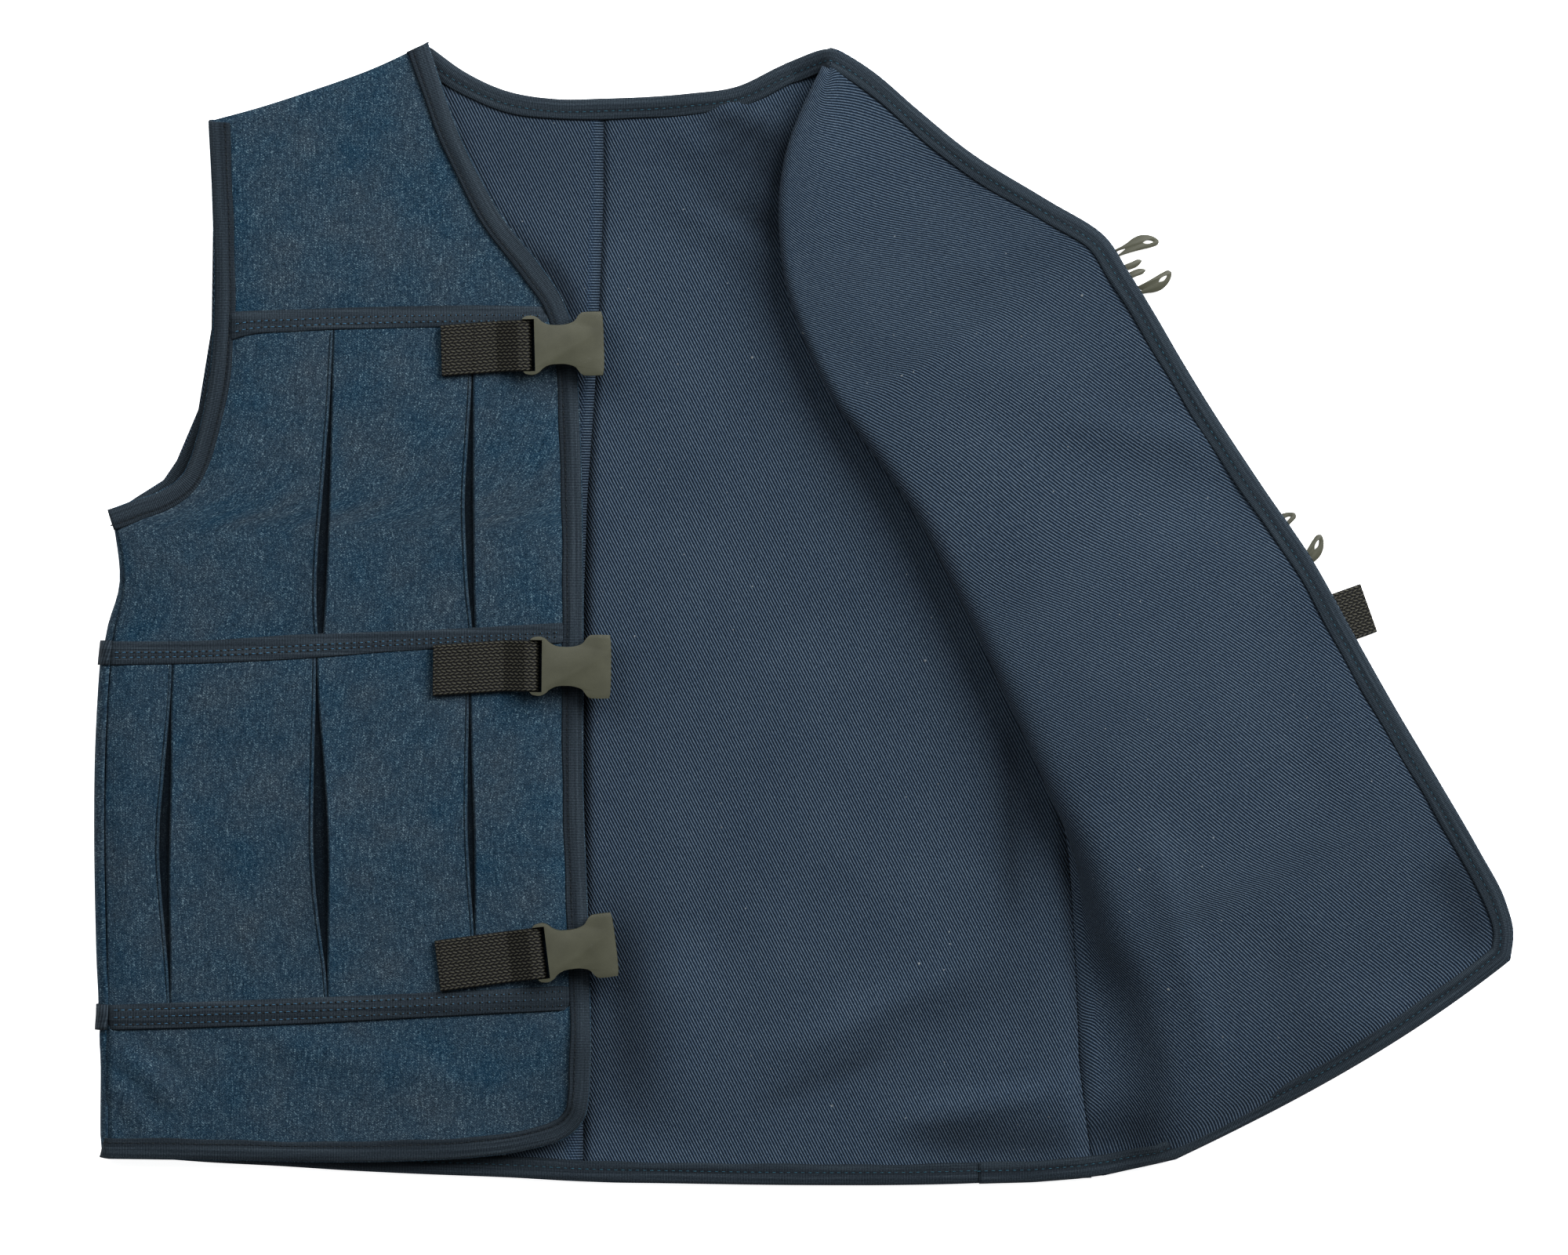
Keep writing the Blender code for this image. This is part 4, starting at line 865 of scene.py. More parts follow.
# The same on the open back
BACK_FOLDS = (
    ((-46, 254), (-4, 230), 7.0, 3.2), ((-66, 236), (0, 197), 7.5, 3.8),
    ((-68, 206), (4, 163), 7.5, 3.0), ((-14, -219), (74, -176), 8.0, 3.0),
    ((44, -251), (124, -234), 6.5, 4.6), ((114, -45), (119, -100), 13.0, 4.5),
    ((108, -110), (122, -200), 10.0, 2.2), ((-92, -120), (-80, -215), 12.0, 1.2),
    ((-62, -160), (-66, -250), 18.0, 4.0),
)
# The same on the turned-back front
FLAP_FOLDS = (
    ((48, 150), (124, 190), 8.0, 1.4), ((120, 92), (206, 84), 9.0, 1.7),
    ((222, 74), (160, 40), 14.0, -1.3), ((170, -112), (201, -226), 8.0, 2.0),
    ((316, -124), (286, -192), 9.0, -2.4), ((250, -40), (280, -110), 16.0, 1.0),
    ((60, 190), (100, 160), 13.0, 0.9),
)


def front_relief(x, y):
    """How far the closed front's cloth stands off its flat place; the yoke sags at the shoulder."""
    return waves("front", x, y, 150, 0.55) + ridges(x, y, FRONT_FOLDS) - 0.9 * smooth(y, 232, 270)


def on_front(line):
    return with_height(line, FRONT_FACE + front_relief(line[:, 0], line[:, 1]))


def front_sides():
    """The closed front's side and armhole as one line, and its front edge."""
    side = np.concatenate((through(FRONT_SIDE, step=EDGE_STEP), through(ARMHOLE, step=EDGE_STEP)[1:]))
    return side, through(FRONT_EDGE, step=EDGE_STEP)


def front_panel(step):
    """The closed right front between its hem, side, armhole, neckline and front edge."""
    rows, wide = round(540 / step), round(236 / step)
    left, right = (
        at_heights(line, np.linspace(line[0, 1], line[-1, 1], rows)) for line in front_sides()
    )
    hem, shoulder = (resampled(through(line, step=EDGE_STEP), wide) for line in (FRONT_HEM, SHOULDER))
    flat = patch(hem, shoulder, left, right, np.linspace(0, 1, wide), np.linspace(0, 1, rows))
    points = np.dstack((flat, FRONT_FACE + front_relief(flat[..., 0], flat[..., 1])))
    return Cloth(points, grid_normals(points, 1), flat)


def over_shoulder(cloth):
    """The shell with extra rows that round over the shoulder down to the back."""
    run = unit(np.subtract(SHOULDER[-1], SHOULDER[0]))
    ahead, up = np.array((-run[1], run[0], 0.0)), np.array((0.0, 0.0, 1.0))
    last, drop = cloth.points[-1], 7.6
    rows, out, pattern = [], [], []
    for angle in np.radians((18, 36, 54, 72, 90)):
        rows.append(last - ahead * 2.2 * math.sin(angle) - up * drop * (1 - math.cos(angle)))
        out.append(np.broadcast_to(ahead * math.sin(angle) + up * math.cos(angle), last.shape))
        pattern.append(cloth.pattern[-1] + ahead[:2] * drop * angle / 1.57)
    pairs = ((cloth.points, rows), (cloth.out, out), (cloth.pattern, pattern))
    return Cloth(*(np.concatenate(pair) for pair in pairs))


def over_top(last):
    """A few points that carry a tape's line over the shoulder, from the lowest up."""
    return np.array([last + (0.5 * drop, 1.4 * drop, -3.2 * drop * drop) for drop in (1.2, 0.9, 0.5)])


def pleat_at(pleat, y):
    """Where a pleat is at each height, and half the width that it gapes there."""
    height, x, half = (pleat[name][::-1] for name in ("y", "x", "half"))
    return hermite(height, x, y), np.maximum(hermite(height, half, y), 0.12)


# From a pleat's lip into its fold: place past the lip, share of the lip's height, and the painted shade
# there
FOLD_STEPS = (
    (-1.6, 1.0, 0.0), (-0.7, 1.0, 0.0), (-0.2, 0.9, 0.1), (0.0, 0.68, 0.4), (-0.35, 0.42, 0.8),
    (-1.3, 0.24, 1.0), (-2.8, 0.1, 1.0), (-3.4, 0.03, 1.0), (-2.8, 0.0, 1.0),
)


def pocket_foot(x):
    """The lower edge of the lower pocket row, which slopes under the lower band."""
    return np.interp(x, (-341.0, -103.0), (-198.0, -188.5))


def pleated_pocket(name, y_low, y_high, lines, pleats, crown, foot=None):
    """A pocket row: cloth that crowns between its pleats and folds under along each of them."""
    y = np.linspace(y_low, y_high, round((y_high - y_low) / 3.0))
    left, right = (at_heights(line, y)[:, 0] for line in lines)
    floor, top = FRONT_FACE + POCKET + 0.35, FRONT_FACE + POCKET + 1.3
    fullness = np.sin(np.pi * np.clip((y - y_low) / (y_high - y_low), 0, 1)) ** 0.7
    # The bands press the pleats flat
    pressed = 0.95 * smooth(y - y_low, 3.0, 18.0) * smooth(y_high - y, 3.0, 14.0)
    # Each span between pleats: its two ends, and how wide the pleats there gape
    spans, start, before = [], left, None
    for pleat in pleats:
        x, half = pleat_at(pleat, y)
        spans.append((start, x - half, before, half))
        start, before = x + half, half
    spans.append((start, right, before, None))
    spots = []
    for low, high, before, after in spans:
        width = high - low
        for share in smooth_spread(max(10, int(width.mean() / 2.6))):
            x = low + width * share
            z = top + crown * fullness * np.sin(np.pi * share) ** 0.8
            for half, away in ((before, x - low), (after, high - x)):
                if half is not None:
                    z = z + half * pressed * np.exp(-away / 13.0)
            for half, away in ((before, x - low), (after, high - x)):
                if half is None:
                    z = floor + (z - floor) * smooth(away, 0.0, 7.0)
            spots.append((x, z, 0.0))
        if after is not None:
            lip = top - floor + after * pressed + crown * fullness * 0.12
            spots += [(high + reach, floor + lip * rise, dark) for reach, rise, dark in FOLD_STEPS]
            spots.append((high + after, floor - 0.02 + 0 * y, 1.0))
            spots += [
                (high + 2 * after - reach, floor + lip * rise, dark)
                for reach, rise, dark in FOLD_STEPS[:0:-1]
            ]
    x, z = (np.stack([spot[k] for spot in spots], axis=1) for k in (0, 1))
    rows = np.broadcast_to(y[:, None], x.shape)
    if foot:
        rows = rows + (foot(x) - y_low) * np.clip(1 - (rows - y_low) / 60, 0, 1)
    points = np.dstack((x, rows, z + front_relief(x, rows)))
    section = points[..., ::2]
    run = np.gradient(section, axis=1)
    normals = unit(np.dstack((-run[..., 1], np.zeros_like(x), run[..., 0])))
    across = np.cumsum(np.linalg.norm(np.diff(section, axis=1, prepend=section[:, :1]), axis=2), axis=1)
    # The pattern starts elsewhere than the shell's, so that the two don't match
    cloth = Cloth(points, normals, np.dstack((across + 37.0, rows)))
    # The fold mark paints shade into each pleat's fold, darkest at its bottom
    marks = {"fold": np.broadcast_to([spot[2] for spot in spots], x.shape)}
    panel(name, cloth, -0.3, 0.6, "denim", marks)


def smooth_spread(number):
    """Shares from 0 to 1, closer together at both ends."""
    t = np.linspace(0, 1, number)
    return t - 0.1 * np.sin(2 * math.pi * t)


def band_line(sections, share, step=3.0):
    """The flat line at a share of a band's width below its top edge."""
    y = sections["top"] + share * (sections["low"] - sections["top"])
    return through(np.stack((sections["x"], y), axis=1), step=step)


def band_height(x, y):
    """How high a band lies: over the pockets' edges, and lower above and below the pocket rows."""
    drop = 1.4 * (smooth(y, 145.0, 148.0) + smooth(pocket_foot(x) - y, 0.5, 3.5))
    return FRONT_FACE + BAND + front_relief(x, y) + waves("band", x, y, 60, 0.15) - drop


BAND_SECTION = table(
    "share height", (0.0, 0.0), (0.06, 0.35), (0.16, 0.5), (0.3, 0.42), (0.45, 0.5), (0.6, 0.45),
    (0.75, 0.5), (0.88, 0.45), (0.95, 0.3), (1.0, 0.0),
)


def front_band(key, sections):
    """A band of wide tape over the pocket edges, and its stitch rows' lines."""
    number = len(band_line(sections, 0.0))
    flat = np.array([resampled(band_line(sections, share), number) for share in BAND_SECTION["share"]])
    x, y = flat[..., 0], flat[..., 1]
    sink = 1.9 * (2 - smooth(x - x[:, :1], 0.0, 5.0) - smooth(x[:, -1:] - x, 0.0, 7.0))
    points = np.dstack((flat, band_height(x, y) + 0.1 + BAND_SECTION["height"][:, None] - sink))
    cloth = Cloth(points, grid_normals(points, -1), flat)
    panel(
        f"right_{key}_band", cloth, 0.0, BAND_WALL, "tape",
        ending="tape",
    )
    lines = []
    for share in BAND_STITCHES[key]:
        line = band_line(sections, share, EDGE_STEP)
        line = line[(line[:, 0] > line[0, 0] + 4) & (line[:, 0] < line[-1, 0] - 5)]
        lines.append(with_height(line, band_height(line[:, 0], line[:, 1]) + 1.18))
    return lines


def build_right_front():
    shell = over_shoulder(front_panel(FINE))
    panel("right_front_shell", shell, SHELL, WALL, "denim")
    lining = front_panel(PLAIN)
    panel("right_front_lining", lining, LINING, WALL, "twill")
    side, edge = front_sides()
    inner_edge = edge - (POCKET_INSET, 0.0)
    arm = through(ARMHOLE, step=EDGE_STEP)
    level = with_height(arm, 0.0)
    inner_arm = (level + level_frame(level, -1)[0] * POCKET_INSET)[:, :2]
    inner_side = through(FRONT_SIDE, step=EDGE_STEP) + (0.4, 0.0)
    upper = np.concatenate((inner_side[inner_side[:, 1] < 42], inner_arm[inner_arm[:, 1] > 44]))
    upper = upper[np.argsort(upper[:, 1])]
    pleated_pocket("right_upper_pocket", -18.0, 144.5, (upper, inner_edge), UPPER_PLEATS, 0.7)
    lines = (side + (0.5, 0.0), inner_edge)
    pleated_pocket("right_lower_pocket", -198.0, -15.5, lines, LOWER_PLEATS, 1.0, pocket_foot)
    pale = []
    for key, sections in zip(KEYS, (UPPER_BAND, MIDDLE_BAND, LOWER_BAND)):
        pale += front_band(key, sections)
    stitches("right_band_stitching", pale, PALE_THREAD, thick=0.5)
    # Painted shade: beads of black thread stand for the shade in the needle holes, half a pitch on
    needle_hole_shade_lines = [line[1:] for line in pale]
    stitches("right_band_needle_hole_shade", needle_hole_shade_lines, BLACK_THREAD, stitch=1.2, thick=0.95)
    # The long tape: from the neck peak down the neckline and front edge, and along the hem to the side
    hem = through(FRONT_HEM, step=TAPE_STEP)
    long_line = on_front(np.concatenate((through(FRONT_EDGE, step=TAPE_STEP)[::-1], hem[::-1][1:])))
    fold = np.array(((-343.0, -266.3, -1.0), (-344.8, -266.0, -3.0), (-345.2, -265.8, -5.0)))
    long_line = np.concatenate((over_top(long_line[0]), long_line, fold + (0, 0, FRONT_FACE)))
    arm = on_front(arm)
    arm = np.concatenate((arm, over_top(arm[-1])[::-1]))
    dark = []
    for name, line in (("right_front_tape", long_line), ("right_armhole_tape", arm)):
        run = tape(name, line, *level_frame(line, -1), top_rise=0.3, cap=0.8)
        line = stitch_line(run, DENIM_STITCH, rise=0.3)
        dark.append(line[line[:, 1] < shoulder_height(line[:, 0]) - 1.0])
    stitches("right_binding_stitching", dark, DARK_THREAD, thick=0.75)


def spread_between(places, lengths, step):
    """The given places with more between them, so many that each length is cut at about every step."""
    runs = [
        np.linspace(a, b, max(2, round(length / step)), endpoint=False)
        for a, b, length in zip(places[:-1], places[1:], lengths)
    ]
    return np.concatenate([*runs, places[-1:]])


def back_panel(step):
    """The back as a flat patch between its hem, sides and neckline, its right side wrapped up."""
    places = lengths_along(np.array(BACK_TOP))
    spread = spread_between(places, np.diff(places), step)
    u = spread / places[-1]

    def along(values):
        values, peak = np.array(values), places[NECK_PEAK]
        rest = hermite(places[NECK_PEAK:], values[NECK_PEAK:], np.maximum(spread, peak))
        return np.where(spread[:, None] < peak, lookup(spread, places, values), rest)

    steps = np.arange(len(BACK_ROWS["rise"]), dtype=float)
    at = spread_between(steps, np.abs(np.diff(BACK_ROWS["right_y"])), step)
    t = {}
    for key, values in BACK_ROWS.items():
        first = slice(0, UNDERARM_ROW + 1)
        low = hermite(steps[first], values[first], np.minimum(at, UNDERARM_ROW))
        t[key] = np.where(at <= UNDERARM_ROW, low, np.interp(at, steps, values))
    sides = (columns(t, "right_x right_y"), columns(t, "left_x left_y"))
    flat = patch(along(BACK_HEM), along(BACK_TOP), *sides, u, t["rise"])
    seam = int(np.argmin(np.abs(spread - places[SEAM_PLACE])))
    middle = flat[:, seam]
    shift = np.interp(middle[:, 1], CENTRE_SEAM["y"], CENTRE_SEAM["x"]) - middle[:, 0]
    flat[..., 0] += shift[:, None] * np.minimum(u / u[seam], (1 - u) / (1 - u[seam]))
    return flat, seam


def wrapped(flat):
    """The columns that carry the back's right side up round the side fold to the side seam."""
    x, y = flat[:, 0].T
    wrap = 1 - smooth(y, *UNWRAP)
    points, out, pattern = [], [], []
    for turn in np.linspace(math.pi, 0, 9)[:-1]:
        around = x - 1.9 * math.sin(turn)
        inward = 0.1 * TAPE_WIDTH * (1 - turn / math.pi)
        rise = SIDE_RADIUS * (1 - math.cos(turn)) * wrap
        spot = (around * wrap + (x + inward) * (1 - wrap), y, BACK_FACE + rise)
        points.append(np.stack(spot, axis=1))
        up = (-math.sin(turn) * wrap, 0 * x, -math.cos(turn) * wrap - (1 - wrap))
        out.append(unit(np.stack(up, axis=1)))
        pattern.append(np.stack((x - SIDE_RADIUS * turn, y), axis=1))
    return (np.array(a).transpose(1, 0, 2) for a in (points, out, pattern))


def back_relief(x, y):
    """The open back's low folds; nothing lifts it at its bound edges or under the closed front."""
    z = waves("back", x, y, 190, 0.8) + ridges(x, y, BACK_FOLDS)
    hold = smooth(y, -276, -262) * (1 - smooth(y, 244, 254)) * smooth(x, -108, -90)
    return np.maximum(z, -0.9) * hold


def build_back():
    flat, seam = back_panel(FINE)
    raised = np.dstack((flat, BACK_FACE + back_relief(flat[..., 0], flat[..., 1])))
    lining = Cloth(raised, grid_normals(raised, -1), flat)
    right = lining.part(slice(0, -1), slice(0, seam + 1))
    left = lining.part(slice(0, -1), slice(seam, None))
    # The seam: a pressed allowance on its right, a narrow groove on its left
    strip = right.points[..., 0] - right.points[:, -1:, 0] + SEAM_ALLOWANCE
    pressed = smooth(strip, -0.6, 0.4)
    right.points[..., 2] += 0.35 * pressed - 0.5 * smooth(strip, SEAM_ALLOWANCE - 1.2, SEAM_ALLOWANCE)
    seam_gap = 1.2 - np.abs(left.points[..., 0] - left.points[:, :1, 0])
    left.points[..., 2] -= 0.6 * smooth(seam_gap, 0.0, 1.2)
    # Painted shade along the pressed allowance's folded edge and down the seam's groove
    edge = 0.45 * smooth(strip, SEAM_ALLOWANCE - 0.6, SEAM_ALLOWANCE)
    painted_groove_shade = 0.5 * smooth(seam_gap, 0.4, 1.2)
    for side, cloth, dark, marks in (
        ("right", right, edge, {"pressed": pressed}), ("left", left, painted_groove_shade, {}),
    ):
        # Painted shade where hollows and the pieces that lie over the lining keep the light off it
        shade = np.clip(ridges(cloth.pattern[..., 0], cloth.pattern[..., 1], BACK_SHADE), 0, MOST_SHADE)
        marks["fold"] = np.maximum(dark, shade)
        panel(f"back_lining_{side}", cloth, 0.0, WALL, "twill", marks)
    coarse, _ = back_panel(PLAIN)
    base = np.dstack((coarse, np.full(coarse.shape[:2], BACK_FACE)))
    down = np.broadcast_to((0.0, 0.0, -1.0), base.shape)
    pairs = zip(wrapped(coarse), (base, down, coarse))
    shell = Cloth(*(np.concatenate(pair, axis=1) for pair in pairs))
    panel("back_shell", shell, SHELL, WALL, "denim")
    (middle_top, lower_top), (middle_low, lower_low) = BACK_BAND_ROWS.values()
    for name, low, high, start, thick, slot in (
        ("lower_pocket", lower_low + 2, middle_top - 2, POCKET, WALL, "denim"),
        ("middle_band", middle_low, middle_top, BAND, TAPE_WALL, "tape"),
        ("lower_band", lower_low, lower_top, BAND, TAPE_WALL, "tape"),
    ):
        cloth = between_heights(shell, low, high)
        panel(f"back_{name}", cloth, start, thick, slot)
    hem = through(BACK_HEM, step=TAPE_STEP)
    neck = np.array(BACK_TOP[NECK_PEAK:])
    neck[0] += (1.5, -1.0)
    # The armhole loops of the back: the right one peeps out behind the closed front's
    right_arm = columns(BACK_ROWS, "right_x right_y")[UNDERARM_ROW + 1 : -1]
    left_arm = columns(BACK_ROWS, "left_x left_y")[UNDERARM_ROW + 2 : -1]
    runs = [
        back_tape("back_hem_tape", hem[hem[:, 0] < 96], -1),
        back_tape("back_neck_tape", through(neck, step=TAPE_STEP), 1),
        back_tape("back_right_armhole_tape", through(right_arm, step=TAPE_STEP), 1),
    ]
    back_tape("back_left_armhole_tape", through(left_arm, step=3.0), -1)
    lines = [stitch_line(run, LINING_STITCH) for run in runs]
    stitches("back_binding_stitching", lines, TEAL_THREAD, thick=0.5)


def back_tape(name, line, side):
    edge = with_height(line, BACK_FACE)
    return tape(name, edge, *level_frame(edge, side, -1.0))


def between_heights(cloth, low, high):
    """The part of a panel between two heights, its first and last rows exactly there."""
    y = cloth.points[..., 1]
    inside = y[:, 0][(y[:, 0] > low + 0.5) & (y[:, 0] < high - 0.5)]
    heights = np.array((low, *inside, high))

    def rows(grid):
        return np.stack([lookup(heights, y[:, c], grid[:, c]) for c in range(y.shape[1])], axis=1)

    return Cloth(*(rows(grid) for grid in (cloth.points, cloth.out, cloth.pattern)))


def bezier(start, first, second, end, number):
    t = np.linspace(0, 1, number)[None, :, None]
    start, first, second, end = (p[:, None] for p in (start, first, second, end))
    return (
        (1 - t) ** 3 * start + 3 * (1 - t) ** 2 * t * first + 3 * (1 - t) * t**2 * second + t**3 * end
    )


def left_front(levels, under_count, nose_count, over_count):
    """The turned-back left front: each row runs under, round the roll's nose and over to the edge."""
    levels = np.array(levels, float)
    t = {key: hermite(LEFT_FRONT["level"], values, levels) for key, values in LEFT_FRONT.items()}
    # The cloth's own thickness sets the visible roll out past the solid's
    proud = 0.8 + 0.9 * smooth(levels, -250, -200) * (1 - smooth(levels, -20, 60))
    nose = np.stack((t["nose_x"] - proud, t["nose_y"]), axis=1)
    run = np.gradient(nose, levels, axis=0)
    # Towards the hem the rows fall in with the hem's own straight run
    low = 0.6 * (1 - smooth(levels, -262, -205))[:, None]
    chord = unit(columns(t, "edge_x edge_y") - nose)
    inward = unit(np.stack((run[:, 1], -run[:, 0]), axis=1))
    inward = unit(inward * (1 - low) + chord * low)
    foot_xy = nose + inward * t["foot"][:, None]
    crest_xy = nose + inward * t["crest"][:, None]
    pull_xy = (8 * nose - foot_xy - crest_xy) / 6
    seam, edge = columns(t, "seam_x seam_y seam_z"), columns(t, "edge_x edge_y edge_z")
    foot, crest = with_height(foot_xy, t["foot_z"]), with_height(crest_xy, t["crest_z"])
    # The fold overhangs: its underside climbs steeply before the nose
    climb = 0.22 * smooth(levels, -250, -150) * (1 - smooth(levels, 225, 270))
    low_pull = with_height(pull_xy, t["foot_z"] + climb * (t["crest_z"] - t["foot_z"]))
    high_pull = with_height(pull_xy, t["crest_z"])
    reach = np.linalg.norm(edge - crest, axis=1, keepdims=True)
    straight = (edge - crest) / reach * (1.0, 1.0, 0.0)
    low = 0.7 * (1 - smooth(levels, -266, -170))[:, None]
    ahead = unit(crest - high_pull) * (1 - low) + straight * low
    over_pull = crest + ahead * reach / 3
    # The hem bows out towards its corner
    bow = (1 - smooth(levels, -266, -200))[:, None]
    edge_pull = edge - (edge - crest) * 0.35 * np.array((1, 1, 0.45)) + bow * (4.5, -8.0, 0.0)
    shares = np.linspace(0, 1, under_count)[None, :-1, None]
    under = seam[:, None] + shares * (foot - seam)[:, None]
    around = bezier(foot, low_pull, high_pull, crest, nose_count)
    over = bezier(crest, over_pull, edge_pull, edge, over_count)
    points = np.concatenate((under, around[:, :-1], over), axis=1)
    # The side seam: the first column is tucked under the back lining's edge
    points[:, 0] += np.where(levels < 60, 1.0, 0.0)[:, None] * (-2.6, 0.0, -1.1)
    across = np.cumsum(np.linalg.norm(np.diff(points, axis=1, prepend=points[:, :1]), axis=2), axis=1)
    across = across - across[:, -1:]
    pattern = np.dstack((across, np.broadcast_to(levels[:, None], across.shape)))
    x, y = points[..., 0], points[..., 1]
    relief = waves("flap", x, y, 170, 0.9) + ridges(x, y, FLAP_FOLDS)
    shown = smooth(np.arange(points.shape[1]), under_count + nose_count * 0.4, under_count + nose_count)
    hold = smooth(-across, 2.0, 22.0) * smooth(levels, -264, -240)[:, None]
    points = points - grid_normals(points, -1) * (relief * shown * hold)[..., None]
    return Cloth(points, grid_normals(points, -1), pattern)


def flap_run(cloth):
    """The turned-back front's bound edge, from the neck down to the corner and along the hem."""
    p, n = cloth.points, cloth.out
    face = BACK_FACE + 0.5
    before = np.array(((-10.0, 269.4, -1.1), (-3.0, 272.2, 0.6), (4.0, 274.9, 3.5), (9.0, 276.4, 6.0)))
    after = np.array(((137.0, -276.6, 0.0), (112.0, -278.6, 0.0), (85.4, -279.3, 0.0)))
    before, after = before + (0, 0, face), after + (0, 0, face)
    down = np.array((0.0, 0.0, -1.0))
    edge = np.concatenate((before, p[::-1, -1], p[0, -2:2:-1], after))
    out = np.concatenate((down + 0 * before, n[::-1, -1], n[0, -2:2:-1], down + 0 * after))
    along = lengths_along(edge)
    at = np.arange(0, along[-1], TAPE_STEP)
    edge, out = (smooth_line(lookup(at, along, values), 4) for values in (edge, out))
    return edge, unit(out)


def build_left_front():
    levels = np.linspace(-266, 281, round(547 / FINE))
    fine = left_front(levels, 8, 18, 64)
    # Painted shade in the crease beside the side seam
    beside = fine.pattern[..., 0] - fine.pattern[:, :1, 0]
    painted_crease_shade = 0.5 * (1 - smooth(beside, 2, 13)) * (1 - smooth(levels, -215, -120))[:, None]
    # Painted shade over the turned-back front's lining from its roll onwards, and painted shadows at the
    # places in FLAP_SHADE
    x, y = fine.points[..., 0], fine.points[..., 1]
    painted_shade = 0.16 * smooth(np.arange(x.shape[1]), 8, 24) + ridges(x, y, FLAP_SHADE)
    marks = {"fold": np.clip(np.maximum(painted_crease_shade, painted_shade), 0, MOST_SHADE)}
    panel(
        "left_front_lining", fine, LINING, WALL, "twill", marks
    )
    levels = np.linspace(-266, 276, round(542 / PLAIN))
    plain = left_front(levels, *PLAIN_COUNTS)
    panel("left_front_shell", plain, SHELL, WALL, "denim")
    for name, low, high, start, slot in (
        ("upper_pocket", -22.0, 147.0, POCKET, "denim"), ("lower_pocket", -203.0, -24.5, POCKET, "denim"),
        ("lower_band", -203.0, -190.0, BAND, "tape"), ("middle_band", -24.0, -11.0, BAND, "tape"),
        ("upper_band", 136.0, 147.0, BAND, "tape"),
    ):
        rows = np.linspace(low, high, max(3, round((high - low) / PLAIN)))
        cloth = left_front(rows, *PLAIN_COUNTS).part(cut=slice(8, None))
        cloth = cloth.part(cut=cloth.pattern[0, :, 0] < -TAPE_WIDTH)
        panel(f"left_{name}", cloth, start, WALL, slot)
    edge, out = flap_run(fine)
    run = tape("left_front_tape", edge, square_to(edge, out, 1), out, pucker=0.35)
    rows = (levels >= 75) & (levels <= 258)
    arm, arm_out = plain.points[rows, 0], plain.out[rows, 0]
    tape("left_armhole_tape", arm, square_to(arm, arm_out, -1), arm_out)
    line = stitch_line(run, LINING_STITCH)
    stitches("left_binding_stitching", [line], TEAL_THREAD, thick=0.5)
    return plain


def woven(along, across):
    """Height of the webbing's plump yarn loops, each row half a loop further on, from 0 to 1."""
    lane = across / YARN_WIDE
    row = np.floor(lane)
    sideways = (lane - row - 0.5) * 2
    forward = (along / YARN_LONG + 0.5 * (row % 2)) % 1.0
    lean = (forward - 0.5) * 2 + 0.9 * sideways * np.where(row % 2 == 0, 1, -1)
    return np.clip(1 - np.abs(sideways) ** 2.4 * 0.8 - np.abs(lean) ** 3.0 * 0.85, 0, 1)


def loop_path(start_x, heights, bar_x, bar_z):
    """Out along the lower leg, round the bar and back along the upper leg."""
    lower = list(zip(start_x, heights))
    upper = [(x, z + WEBBING_LEG) for x, z in lower]
    near = bar_x - 3.6
    angles = np.radians(np.linspace(-75, 75, 9))
    around = [(bar_x + LOOP_RADIUS * math.cos(a), bar_z + LOOP_RADIUS * math.sin(a)) for a in angles]
    return lower + [(near, bar_z - LOOP_RADIUS)] + around + [(near, bar_z + LOOP_RADIUS)] + upper[::-1]


def placed(points, spot, z, turn):
    """Points in a strap's own x, y and z, set down at a spot and turned."""
    c, s = math.cos(math.radians(turn)), math.sin(math.radians(turn))
    return np.asarray(points) @ np.array(((c, s, 0), (-s, c, 0), (0, 0, 1))) + (spot[0], spot[1], z)


def webbing(name, path, spot, z, turn, fine, drift=0.0, straight=1.0, hidden=0.42):
    """A ribbon of webbing along a path in its own x and z, set down at a spot and turned."""
    corners = range(len(path)) if len(path) > 8 else ()
    path = smooth_line(through(path, corners, WEAVE_STEP if fine else 1.2), 3)
    half = WEBBING_WIDTH / 2
    across = np.linspace(-half, half, round(WEBBING_WIDTH / (WEAVE_STEP if fine else 1.0)) + 1)
    along = lengths_along(path)
    if fine:
        # The hidden lower leg needs few points
        keep = (along > along[-1] * hidden) | (np.arange(len(along)) % 8 == 0)
        path, along = path[keep], along[keep]
    run = np.gradient(path, axis=0)
    flat = unit(np.stack((-run[:, 1], run[:, 0]), axis=1))
    shift = drift * np.maximum(0.0, 1 - path[:, 0] / straight)
    x, height = path[:, :1], path[:, 1:]
    points = np.stack(np.broadcast_arrays(x, across + shift[:, None], height), axis=2)
    out = np.stack(np.broadcast_arrays(flat[:, :1], 0 * across, flat[:, 1:]), axis=2)
    pattern = np.stack(np.broadcast_arrays(along[:, None], across), axis=2)
    yarn = woven(pattern[..., 0], pattern[..., 1])
    # The loop's outer face is where the path's normals point away from the bar
    relief = 0.6 * (yarn - 1) - 0.35 * smooth(np.abs(across), half - 1.0, half)
    inner = points + out * (WEBBING_WALL / 2)
    outer = points - out * (WEBBING_WALL / 2 + relief[..., None])
    inner, outer = (placed(grid, spot, z, turn) for grid in (inner, outer))
    settle(new_sheet(f"{name}_weave", inner, outer, "webbing", pattern, {"yarn": yarn}), name)


def heading(turn):
    return Vector((math.cos(math.radians(turn)), math.sin(math.radians(turn))))


def written(bm, mesh):
    """The mesh with the editor's shape in it."""
    bm.to_mesh(mesh)
    bm.free()
    return mesh


